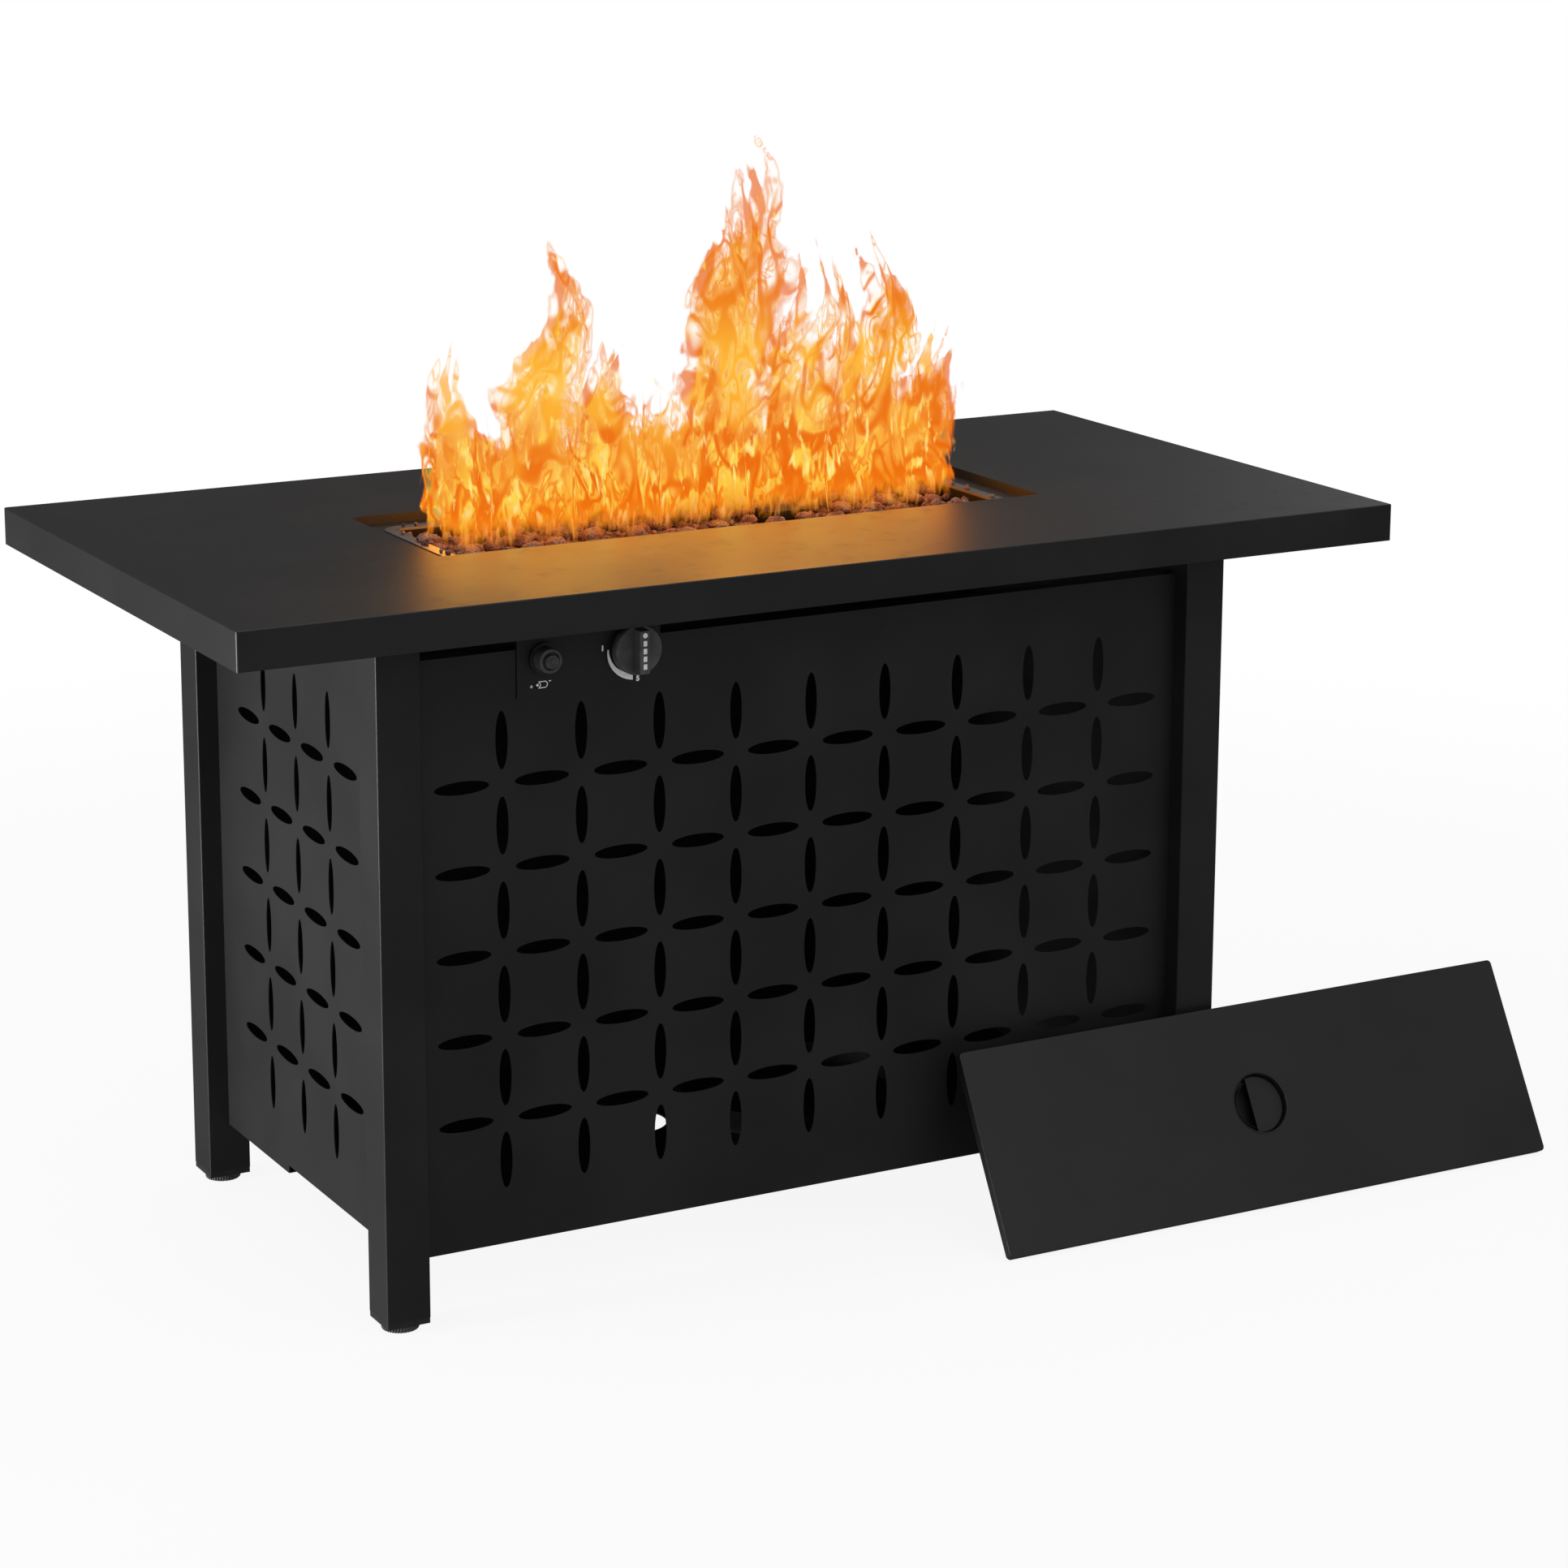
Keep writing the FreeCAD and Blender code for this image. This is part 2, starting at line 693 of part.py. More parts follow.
def make_panels():
    """Pierced front and left panels, and a plain rear panel."""
    front = panel("front_panel", "front_span", "panel_flange")
    pierce(front, "front_columns")
    drill_flanges(front, "front_span", "panel_flange")
    drawn = front.sketch("XZ")
    left = "plate_centre - plate_width / 2 + plate_overlap"
    right = "plate_centre + plate_width / 2 - plate_overlap"
    low = "plate_bottom + plate_overlap - panel_clearance"
    outline(drawn, ((left, low), (right, low), (right, "panel_height"), (left, "panel_height")))
    front.pocket(drawn, back=True)
    place(front.body, "0", "-panel_y", "panel_clearance")

    rear = panel("rear_panel", "front_span", "panel_flange")
    drill_flanges(rear, "front_span", "panel_flange")
    place(rear.body, "0", "panel_y", "panel_clearance", Rotation(Vector(0, 0, 1), 180))

    end = panel("left_panel", "end_span", "panel_flange")
    pierce(end, "end_columns")
    drill_flanges(end, "end_span", "panel_flange")
    drawn = end.sketch("XZ")
    outline(drawn, (("end_span / 2 - foot_notch_length", "0"), ("end_span / 2", "0"),
                    ("end_span / 2", "foot_notch_height"),
                    ("end_span / 2 - foot_notch_length", "foot_notch_height")))
    end.pocket(drawn, back=True)
    place(end.body, "-panel_x", "0", "panel_clearance", Rotation(Vector(0, 0, 1), -90))


def make_panel_screws():
    screws = []
    low = "panel_clearance + panel_screw_inset"
    high = "panel_clearance + panel_height - panel_screw_inset"
    for level in (low, high):
        for sx in (-1, 1):
            for sy in (-1, 1):
                screws.append(small_screw("PanelScrew", "+x" if sx > 0 else "-x",
                                          f"{sx} * (front_span / 2 - panel_sheet)",
                                          f"{sy} * (panel_y - panel_flange / 2)", level))
        for sy in (-1, 1):
            screws.append(small_screw("PanelScrew", "+y" if sy > 0 else "-y", "-(panel_x - panel_flange / 2)",
                                      f"{sy} * (end_span / 2 - panel_sheet)", level))
    group("panel_screws", screws)


def make_bottom_tray():
    """Tray on the panels' lower flanges, with turned-up ends and a ring for the gas cylinder's foot."""
    tray = Piece("bottom_tray")
    long_way = "front_span - 2 * panel_sheet - 2 * seat_gap"
    cross_way = "2 * (panel_y - panel_sheet - seat_gap)"
    drawn = tray.sketch("XZ", f"-({cross_way}) / 2")
    edge = f"({long_way}) / 2"
    outline(drawn, ((f"-{edge}", "0"), (edge, "0"), (edge, "tray_flange"),
                    (f"{edge} - tray_sheet", "tray_flange"), (f"{edge} - tray_sheet", "tray_sheet"),
                    (f"-{edge} + tray_sheet", "tray_sheet"), (f"-{edge} + tray_sheet", "tray_flange"),
                    (f"-{edge}", "tray_flange")))
    tray.pad(drawn, cross_way)
    drawn = tray.sketch("YZ", f"-{edge}")
    rectangle(drawn, "tray_slot_length", "tray_slot_height", "tray_slot_place",
              "tray_sheet + tray_slot_height / 2")
    tray.pocket(drawn, "2 * tray_sheet")
    drawn = tray.sketch("XY")
    circle(drawn, "tray_vent_radius", "tray_vent_x", "tray_vent_y")
    tray.pocket(drawn)
    place(tray.body, z="tray_level")

    ring = Piece("cylinder_ring")
    drawn = ring.sketch("XY")
    circle(drawn, "cylinder_foot_radius + ring_sheet")
    circle(drawn, "cylinder_foot_radius")
    ring.pad(drawn, "ring_height")
    place(ring.body, "cylinder_place", z="tray_level + tray_sheet")


def make_access_door():
    """Right end panel hung on two pins, so a gas cylinder goes in from the end."""
    width = "end_span - 2 * door_gap"
    door = panel("access_door", width, "door_flange")
    drawn = door.sketch("XY")
    circle(drawn, "hinge_pin_radius + running_gap", "hinge_y", "door_flange / 2")
    door.pocket(drawn)
    drawn = door.sketch("XZ")
    circle(drawn, "screw_radius + running_gap", f"-({width}) / 2 + pull_inset", "panel_height - pull_drop")
    door.pocket(drawn, "2 * panel_sheet", back=True)
    place(door.body, "panel_x", "0", "panel_clearance", Rotation(Vector(0, 0, 1), 90))

    grip = Piece("door_pull")
    drawn = grip.sketch("XZ")
    outline(drawn, (("0", "-screw_length"), ("screw_radius", "-screw_length"), ("screw_radius", "0"),
                    ("pull_radius / 2", "0"), ("pull_radius / 2", "pull_height / 2"),
                    ("pull_radius", "pull_height * 0.7"), ("pull_radius", "pull_height * 0.9"),
                    ("pull_radius * 0.8", "pull_height"), ("0", "pull_height")))
    grip.revolve(drawn)
    pull_y, pull_z = f"-({width}) / 2 + pull_inset", "panel_clearance + panel_height - pull_drop"
    place(grip.body, "panel_x", pull_y, pull_z, TOWARDS["+x"])
    nut = hexagon("PullNut", "4 * screw_radius", "nut_sheet", "panel_x - panel_sheet - nut_sheet",
                  pull_y, pull_z, TOWARDS["+x"])
    hole = cylinder("PullNutHole", "screw_radius + running_gap", "3 * nut_sheet",
                    "panel_x - panel_sheet - 2 * nut_sheet", pull_y, pull_z, TOWARDS["+x"])
    keep(cut("door_pull_nut", nut, hole), "door_pull_nut")


def make_door_fittings():
    """Hinge brackets with their pins, the magnet on the front leg and its striker on the door."""
    hinges, screws = [], []
    panel_top = "panel_clearance + panel_height"
    x_low = "hinge_x - hinge_width / 2"
    for upper in (False, True):
        leaf_z = f"{panel_top} + seat_gap" if upper else "panel_clearance - seat_gap - hinge_sheet"
        ear_z = leaf_z if upper else "panel_clearance - seat_gap - hinge_ear"
        pin_z = f"{panel_top} - hinge_pin_length" if upper else "panel_clearance - seat_gap"
        leaf = box("HingeLeaf", "hinge_width", "end_span / 2 - hinge_y + hinge_width / 2", "hinge_sheet",
                   x_low, "hinge_y - hinge_width / 2", leaf_z)
        ear = box("HingeEar", "hinge_width", "hinge_sheet", "hinge_ear", x_low, "end_span / 2 - hinge_sheet",
                  ear_z)
        pin = cylinder("HingePin", "hinge_pin_radius", "hinge_pin_length + seat_gap",
                       "hinge_x", "hinge_y", pin_z)
        level = f"{ear_z} + hinge_ear / 2"
        hole = cylinder("HingeHole", "screw_radius + running_gap", "3 * hinge_sheet", "hinge_x",
                        "end_span / 2 - 2 * hinge_sheet", level, TOWARDS["+y"])
        hinges.append(cut("Hinge", fuse("HingeBody", [leaf, ear, pin]), hole))
        screws.append(("hinge_x", level))
    group("door_hinges", hinges)

    middle = "panel_clearance + panel_height / 2"
    x_magnet = "panel_x - door_flange - seat_gap"
    case = box("MagnetCase", "magnet_width", "magnet_reach", "magnet_height", f"{x_magnet} - magnet_width",
               "-end_span / 2", f"{middle} - magnet_height / 2")
    keep(case, "door_magnet")
    cleat = box("Striker", "door_flange - panel_sheet", "striker_reach", "striker_height",
                "panel_x - door_flange", "-end_span / 2 + door_gap + panel_sheet + seat_gap",
                f"{middle} - striker_height / 2")
    keep(cleat, "door_striker")

    group("hinge_screws", [small_screw("HingeScrew", "+y", x, "end_span / 2 - hinge_sheet", level)
                           for x, level in screws])
    leg = next(p for p in parts if p.Label == "leg_rear_right")
    drill_leg(leg, screws)


def drill_leg(body, screws):
    """Holes for the hinge screws in the rear right leg."""
    drawn = body.newObject("Sketcher::SketchObject", "HingeHoles")
    base = next(f for f in body.Origin.OriginFeatures if f.Role == "XZ_Plane")
    drawn.AttachmentSupport = [(base, "")]
    drawn.MapMode = "FlatFace"
    bind(drawn, "AttachmentOffset.Base.z", "leg_side")
    for x, level in screws:
        circle(drawn, "screw_radius + running_gap", f"{x} - leg_x", f"{level} - leg_bottom")
    feature = body.newObject("PartDesign::Pocket", "HingePocket")
    feature.Profile = drawn
    bind(feature, "Length", "leg_side")
    doc.recompute()


def make_control_plate():
    """Bent plate behind the lip that carries the valve and the igniter."""
    plate = Piece("control_plate")
    drawn = plate.sketch("YZ", "-plate_width / 2")
    inner = "plate_height - plate_sheet"
    outline(drawn, (("-plate_sheet", "0"), ("0", "0"), ("0", inner), ("plate_flange", inner),
                    ("plate_flange", "plate_height"), ("-plate_sheet", "plate_height")))
    plate.pad(drawn, "plate_width")
    drawn = plate.sketch("XZ", "plate_sheet")
    circle(drawn, "stem_hole", "knob_place", "control_level - plate_bottom")
    circle(drawn, "barrel_radius + running_gap", "igniter_place", "control_level - plate_bottom")
    plate.pocket(drawn, "2 * plate_sheet", back=True)
    drawn = plate.sketch("XZ")
    for side in (-1, 1):
        circle(drawn, "valve_stud_radius", "knob_place",
               f"control_level - plate_bottom + {side} * valve_stud_spread / 2")
    plate.pad(drawn, "valve_stud_length", back=True)
    place(plate.body, "plate_centre", "-panel_y", "plate_bottom")


def make_valve():
    """Gas valve: flange on the plate's studs, neck for the return spring, block with its inlet below."""
    y_back = "-panel_y"
    flange = box("ValveFlange", "valve_width", "valve_flange", "valve_flange_tall",
                 "knob_x - valve_width / 2", y_back, "control_level - valve_flange_tall / 2")
    neck = cylinder("ValveNeck", "neck_bore + neck_wall", "neck_depth", "knob_x", y_back, "control_level",
                    TOWARDS["+y"])
    block = box("ValveBlock", "valve_width", "valve_depth", "valve_tall", "knob_x - valve_width / 2",
                "-panel_y + neck_depth", "control_level - valve_tall / 2")
    holes = [cylinder("ValveNeckBore", "neck_bore", "neck_depth + plate_sheet", "knob_x",
                      f"{y_back} - plate_sheet", "control_level", TOWARDS["+y"]),
             cylinder("ValveStemBore", "stem_radius + running_gap",
                      "neck_depth + valve_depth / 2 + plate_sheet",
                      "knob_x", f"{y_back} - plate_sheet", "control_level", TOWARDS["+y"])]
    nuts = []
    for side in (-1, 1):
        level = f"control_level + {side} * valve_stud_spread / 2"
        holes.append(cylinder("ValveStudHole", "valve_stud_radius + running_gap", "2 * neck_depth", "knob_x",
                              f"{y_back} - plate_sheet", level, TOWARDS["+y"]))
        nut = hexagon("ValveNut", "3.5 * valve_stud_radius", "nut_sheet", "knob_x",
                      "-panel_y + valve_flange", level, TOWARDS["+y"])
        hole = cylinder("ValveNutHole", "valve_stud_radius + running_gap", "3 * nut_sheet", "knob_x",
                        "-panel_y + valve_flange - nut_sheet", level, TOWARDS["+y"])
        nuts.append(cut("ValveStudNut", nut, hole))
    keep(cut("gas_valve", fuse("ValveBody", [flange, neck, block]), fuse("ValveHoles", holes)), "gas_valve")
    group("valve_nuts", nuts)

    hex_part = hexagon("InletHex", "inlet_hex", "inlet_hex_height", "knob_x", "inlet_y",
                       "control_level - valve_tall / 2 - inlet_hex_height")
    spigot = cylinder("InletSpigot", "inlet_radius", "inlet_length", "knob_x", "inlet_y",
                      "control_level - valve_tall / 2 - inlet_hex_height - inlet_length")
    bore = cylinder("InletBore", "inlet_radius / 2", "inlet_length + inlet_hex_height", "knob_x", "inlet_y",
                    "control_level - valve_tall / 2 - inlet_hex_height - inlet_length")
    keep(cut("gas_inlet", fuse("InletBody", [hex_part, spigot]), bore), "gas_inlet")


def make_knob():
    """Push-and-turn knob on its stem, with the collar and spring that bring it back out."""
    knob = Piece("control_knob")
    drawn = knob.sketch("XY", "knob_standoff")
    circle(drawn, "knob_radius")
    knob.pad(drawn, "knob_disc")
    drawn = knob.sketch("XY", "knob_face")
    rectangle(drawn, "grip_width", "grip_length")
    knob.pad(drawn, "grip_height")
    drawn = knob.sketch("XY", "knob_standoff")
    circle(drawn, "stem_radius + running_gap")
    knob.pocket(drawn, "knob_bore_depth")
    front = value("knob_face + grip_height")
    knob.fillet("grip_edge", lambda edge: all(abs(v.Z - front) < 0.01 for v in edge.Vertexes))
    place(knob.body, "knob_x", "plate_front", "control_level", TOWARDS["-y"])

    stem = Piece("valve_stem")
    drawn = stem.sketch("XY", "-plate_sheet - stem_reach")
    circle(drawn, "stem_radius")
    stem.pad(drawn, "plate_sheet + stem_reach + knob_standoff + knob_bore_depth - seat_gap")
    place(stem.body, "knob_x", "plate_front", "control_level", TOWARDS["-y"])

    collar = Piece("spring_collar")
    drawn = collar.sketch("XY", "-plate_sheet - collar_place - collar_sheet")
    circle(drawn, "neck_bore - 2 * seat_gap")
    circle(drawn, "stem_radius + running_gap")
    collar.pad(drawn, "collar_sheet")
    place(collar.body, "knob_x", "plate_front", "control_level", TOWARDS["-y"])

    spring = keep(doc.addObject("Part::Feature", "valve_spring"), "valve_spring")
    room = value("neck_depth - collar_place - collar_sheet - 2 * seat_gap")
    wire = value("spring_wire")
    coil = (value("stem_radius") + value("neck_bore")) / 2
    path = Part.makeHelix((room - 2 * wire) / SIZES["spring_turns"], room - 2 * wire, coil)
    ring = Part.Wire([Part.makeCircle(wire, Vector(coil, 0, 0), Vector(0, 1, 0))])
    solid = Part.Wire(path.Edges).makePipeShell([ring], True, True)
    solid.translate(Vector(0, 0, -value("plate_sheet + neck_depth - seat_gap") + wire))
    spring.Shape = Part.Compound([solid])
    place(spring, "knob_x", "plate_front", "control_level", TOWARDS["-y"])


def make_igniter():
    """Battery igniter: body, back nut, cell with its spring, screw cap and push button."""
    body = Piece("igniter_body")
    drawn = body.sketch("XZ")
    end = "-plate_sheet - barrel_length"
    cell_bore = "cell_radius + 2 * seat_gap"
    outline(drawn, (("0", end), ("barrel_radius", end), ("barrel_radius", "0"), ("bezel_radius", "0"),
                    ("bezel_radius", "bezel_sheet"), ("cap_bore", "bezel_sheet"),
                    ("cap_bore", "-cap_bore_depth"), (cell_bore, "-cap_bore_depth"),
                    (cell_bore, "-cell_bore_depth"), ("0", "-cell_bore_depth")))
    body.revolve(drawn)
    place(body.body, "igniter_x", "plate_front", "control_level", TOWARDS["-y"])

    nut = hexagon("BarrelNut", "barrel_nut_hex", "barrel_nut_sheet", "igniter_x", "-panel_y", "control_level",
                  TOWARDS["+y"])
    hole = cylinder("BarrelNutHole", "barrel_radius + running_gap", "3 * barrel_nut_sheet", "igniter_x",
                    "-panel_y - barrel_nut_sheet", "control_level", TOWARDS["+y"])
    keep(cut("igniter_nut", nut, hole), "igniter_nut")

    stem_end = "-cap_bore_depth + button_proud + seat_gap"
    cell = Piece("igniter_cell")
    drawn = cell.sketch("XZ")
    cell_top = "-cap_bore_depth - seat_gap"
    outline(drawn, (("0", f"{cell_top} - cell_length"), ("cell_radius", f"{cell_top} - cell_length"),
                    ("cell_radius", f"{cell_top} - 1"), ("cell_radius / 3", f"{cell_top} - 1"),
                    ("cell_radius / 3", cell_top), ("0", cell_top)))
    cell.revolve(drawn)
    place(cell.body, "igniter_x", "plate_front", "control_level", TOWARDS["-y"])

    spring = Piece("cell_spring")
    drawn = spring.sketch("XY", "-cell_bore_depth")
    circle(drawn, "cell_radius * 0.8")
    circle(drawn, "cell_radius * 0.55")
    spring.pad(drawn, "cell_bore_depth - cap_bore_depth - cell_length - 2 * seat_gap")
    place(spring.body, "igniter_x", "plate_front", "control_level", TOWARDS["-y"])

    cap = Piece("igniter_cap")
    drawn = cap.sketch("XZ")
    foot = "bezel_sheet + seat_gap"
    front = f"{foot} + cap_height"
    skirt = "cap_bore - 2 * running_gap"
    hole_radius = "button_radius + button_clearance"
    outline(drawn, ((f"{skirt} - 1.4", f"{foot} - cap_thread"), (skirt, f"{foot} - cap_thread"),
                    (skirt, foot), ("cap_radius", foot), ("cap_radius", front), (hole_radius, front),
                    (hole_radius, f"{front} - 5.5"), (f"{hole_radius} + 1.3", f"{front} - 5.5"),
                    (f"{hole_radius} + 1.3", f"{foot} + 1"), (f"{skirt} - 1.4", f"{foot} + 1")))
    cap.revolve(drawn)
    place(cap.body, "igniter_x", "plate_front", "control_level", TOWARDS["-y"])

    button = Piece("igniter_button")
    drawn = button.sketch("XZ")
    collar_top = f"{front} - 5.5 - seat_gap"
    outline(drawn, (("0", stem_end), ("button_stem", stem_end), ("button_stem", f"{collar_top} - 1.6"),
                    (f"{hole_radius} + 1", f"{collar_top} - 1.6"), (f"{hole_radius} + 1", collar_top),
                    ("button_radius", collar_top), ("button_radius", f"{front} + button_proud"),
                    ("0", f"{front} + button_proud")))
    button.revolve(drawn)
    place(button.body, "igniter_x", "plate_front", "control_level", TOWARDS["-y"])


def make_burner_pan():
    """Stainless drop-in pan; its rim lies on the ledge round the opening."""
    pan = Piece("burner_pan")
    drawn = pan.sketch("XY", "-pan_depth")
    rectangle(drawn, "pan_length", "pan_width")
    pan.pad(drawn, "pan_depth")
    drawn = pan.sketch("XY")
    rectangle(drawn, "pan_length + 2 * rim_width", "pan_width + 2 * rim_width")
    pan.pad(drawn, "pan_sheet")
    drawn = pan.sketch("XY", "-pan_depth + pan_sheet")
    rectangle(drawn, "pan_length - 2 * pan_sheet", "pan_width - 2 * pan_sheet")
    pan.pocket(drawn)
    for radius, grown in (("pan_corner - pan_sheet", "-pan_sheet"), ("pan_corner", "0"),
                          ("pan_corner + rim_width", "rim_width")):
        half_x, half_y = value(f"pan_length / 2 + {grown}"), value(f"pan_width / 2 + {grown}")
        pan.fillet(radius, outward_corner(half_x, half_y))
    drawn = pan.sketch("XY", "-pan_depth")
    circle(drawn, "feed_radius + seat_gap", "feed_place")
    behind = "hood_offset + hood_width / 2"
    circle(drawn, "electrode_radius + seat_gap", "hood_place - hood_length / 5", behind)
    circle(drawn, "sensor_radius + seat_gap", "hood_place + hood_length / 5", behind)
    pan.pocket(drawn)
    place(pan.body, z="ledge_top")


def make_burner():
    """Tube burner with two rows of ports, its feed through the pan, and the straps that hold it."""
    tube = Piece("burner_tube")
    drawn = tube.sketch("YZ", "-burner_length / 2")
    circle(drawn, "burner_radius")
    tube.pad(drawn, "burner_length")
    drawn = tube.sketch("XY", "-feed_length")
    circle(drawn, "feed_radius", "feed_place")
    tube.pad(drawn, "feed_length")
    drawn = tube.sketch("YZ", "-burner_length / 2 + burner_wall")
    circle(drawn, "burner_radius - burner_wall")
    tube.pocket(drawn, "burner_length - 2 * burner_wall")
    drawn = tube.sketch("XY", "-feed_length")
    circle(drawn, "feed_radius - burner_wall", "feed_place")
    tube.pocket(drawn, "feed_length")
    for side in (-1, 1):
        drawn = tube.sketch("XY")
        circle(drawn, "port_radius", "-burner_length / 2 + port_pitch / 2", f"{side} * burner_radius / 2")
        feature = tube.pocket(drawn)
        pattern = tube.add("LinearPattern")
        pattern.Originals = [feature]
        pattern.Direction = (drawn, ["H_Axis"])
        pattern.Mode = "Spacing"
        bind(pattern, "Offset", "port_pitch")
        bind(pattern, "Occurrences", "floor(burner_length / port_pitch)")
        tube.body.Tip = pattern
        doc.recompute()
    place(tube.body, z="burner_axis")

    straps = []
    for side in (-1, 1):
        tall = "burner_lift + 2 * burner_radius + strap_sheet"
        outer = "burner_radius + strap_sheet + running_gap"
        x = f"{side} * strap_place - strap_width / 2"
        arch = box("StrapArch", "strap_width", f"2 * ({outer})", tall, x, f"-({outer})", "pan_floor")
        foot = box("StrapFoot", "strap_width", f"2 * ({outer}) + strap_width", "strap_sheet", x,
                   f"-({outer}) - strap_width / 2", "pan_floor")
        gap = box("StrapGap", "3 * strap_width", "2 * (burner_radius + running_gap)",
                  "2 * burner_radius + burner_lift + running_gap", f"{x} - strap_width",
                  "-(burner_radius + running_gap)", "pan_floor")
        straps.append(cut("Strap", fuse("StrapBody", [arch, foot]), gap))
    group("burner_straps", straps)


def make_gas_feed():
    """Air mixer under the pan, the orifice below it and the rigid pipe from the valve."""
    mixer = Piece("air_mixer")
    drawn = mixer.sketch("XY")
    circle(drawn, "mixer_bore + mixer_wall")
    circle(drawn, "mixer_bore")
    mixer.pad(drawn, "mixer_length")
    drawn = mixer.sketch("XZ", "2 * feed_radius")
    rectangle(drawn, "mixer_window", "mixer_window_tall", y="seat_gap + mixer_window_tall")
    mixer.pocket(drawn, back=True)
    place(mixer.body, "feed_place", "0", "mixer_bottom")

    post = cylinder("OrificePost", "orifice_radius", "orifice_height", "feed_place", "0",
                    "mixer_bottom - orifice_height")
    plate = cylinder("OrificePlate", "mixer_bore + mixer_wall", "2 * mixer_wall", "feed_place", "0",
                     "mixer_bottom - 2 * mixer_wall")
    jet = cylinder("OrificeJet", "orifice_radius / 2", "mixer_window_tall / 2", "feed_place", "0",
                   "mixer_bottom")
    arm = cylinder("OrificeArm", "orifice_radius - 1", "orifice_reach", "feed_place - orifice_reach", "0",
                   "pipe_level", TOWARDS["+x"])
    bore = cylinder("OrificeBore", "port_radius", "2 * orifice_height", "feed_place", "0",
                    "mixer_bottom - orifice_height / 2")
    side_bore = cylinder("OrificeSideBore", "pipe_radius - pipe_wall", "orifice_reach",
                         "feed_place - orifice_reach", "0", "pipe_level", TOWARDS["+x"])
    holes = fuse("OrificeHoles", [bore, side_bore])
    keep(cut("gas_orifice", fuse("OrificeBody", [post, plate, jet, arm]), holes), "gas_orifice")

    pipe = keep(doc.addObject("Part::Feature", "gas_pipe"), "gas_pipe")
    knob_x, back = value("knob_x"), value("valve_back")
    high, low, out = value("control_level"), value("pipe_level"), value("pipe_out")
    end = value("feed_place - orifice_reach")
    turn_y = back + out
    route = [Vector(knob_x, back, high), Vector(knob_x, turn_y, high), Vector(knob_x, turn_y, low),
             Vector(knob_x, 0, low), Vector(end, 0, low)]
    path = bent_path(route, value("pipe_bend"))
    solids = []
    for radius in (value("pipe_radius"), value("pipe_radius - pipe_wall")):
        ring = Part.Wire([Part.makeCircle(radius, route[0], Vector(0, 1, 0))])
        solids.append(path.makePipeShell([ring], True, False))
    pipe.Shape = solids[0].cut(solids[1])

    nuts = []
    for way, x, y, level in (("+y", "knob_x", "valve_back", "control_level"),
                             ("-x", "feed_place - orifice_reach", "0", "pipe_level")):
        nut = hexagon("PipeNut", "pipe_nut_hex", "pipe_nut_length", x, y, level, TOWARDS[way])
        hole = cylinder("PipeNutHole", "pipe_radius + running_gap", "pipe_nut_length",
                        x, y, level, TOWARDS[way])
        nuts.append(cut("PipeEndNut", nut, hole))
    group("pipe_nuts", nuts)


def bent_path(route, radius):
    """Straight runs joined by tangent arcs of one radius."""
    edges = []
    start = route[0]
    for before, corner, after in zip(route, route[1:], route[2:]):
        come = (corner - before).normalize()
        leave = (after - corner).normalize()
        turn = come.getAngle(leave)
        reach = radius * math.tan(turn / 2)
        first, last = corner - come * reach, corner + leave * reach
        bulge = (leave - come).normalize()
        centre = corner + bulge * (radius / math.cos(turn / 2))
        edges.append(Part.LineSegment(start, first).toShape())
        edges.append(Part.Arc(first, centre - bulge * radius, last).toShape())
        start = last
    edges.append(Part.LineSegment(start, route[-1]).toShape())
    return Part.Wire(edges)


def make_pilot():
    """Hood over the spark electrode and the flame sensor, which come up through the pan."""
    hood = Piece("pilot_hood")
    drawn = hood.sketch("XY")
    rectangle(drawn, "hood_length", "hood_width", y="hood_width / 2")
    hood.pad(drawn, "hood_height")
    drawn = hood.sketch("XY")
    rectangle(drawn, "hood_length - 2 * pan_sheet", "hood_width - 2 * pan_sheet", y="hood_width / 2")
    hood.pocket(drawn, "hood_height - pan_sheet")
    drawn = hood.sketch("XZ", "hood_width / 2")
    rectangle(drawn, "hood_length / 2", "hood_height / 2", y="hood_height * 0.55")
    hood.pocket(drawn, back=True)
    place(hood.body, "hood_place", "hood_offset", "pan_floor")

    for label, radius, height, side in (("spark_electrode", "electrode_radius", "electrode_height", -1),
                                        ("flame_sensor", "sensor_radius", "sensor_height", 1)):
        rod = Piece(label)
        drawn = rod.sketch("XZ")
        outline(drawn, (("0", "-rod_drop"), (radius, "-rod_drop"), (radius, f"{height} * 0.6"),
                        (f"{radius} / 2", f"{height} * 0.6"), (f"{radius} / 2", height), ("0", height)))
        rod.revolve(drawn)
        place(rod.body, f"hood_place + {side} * hood_length / 5", "hood_offset + hood_width / 2", "pan_floor")


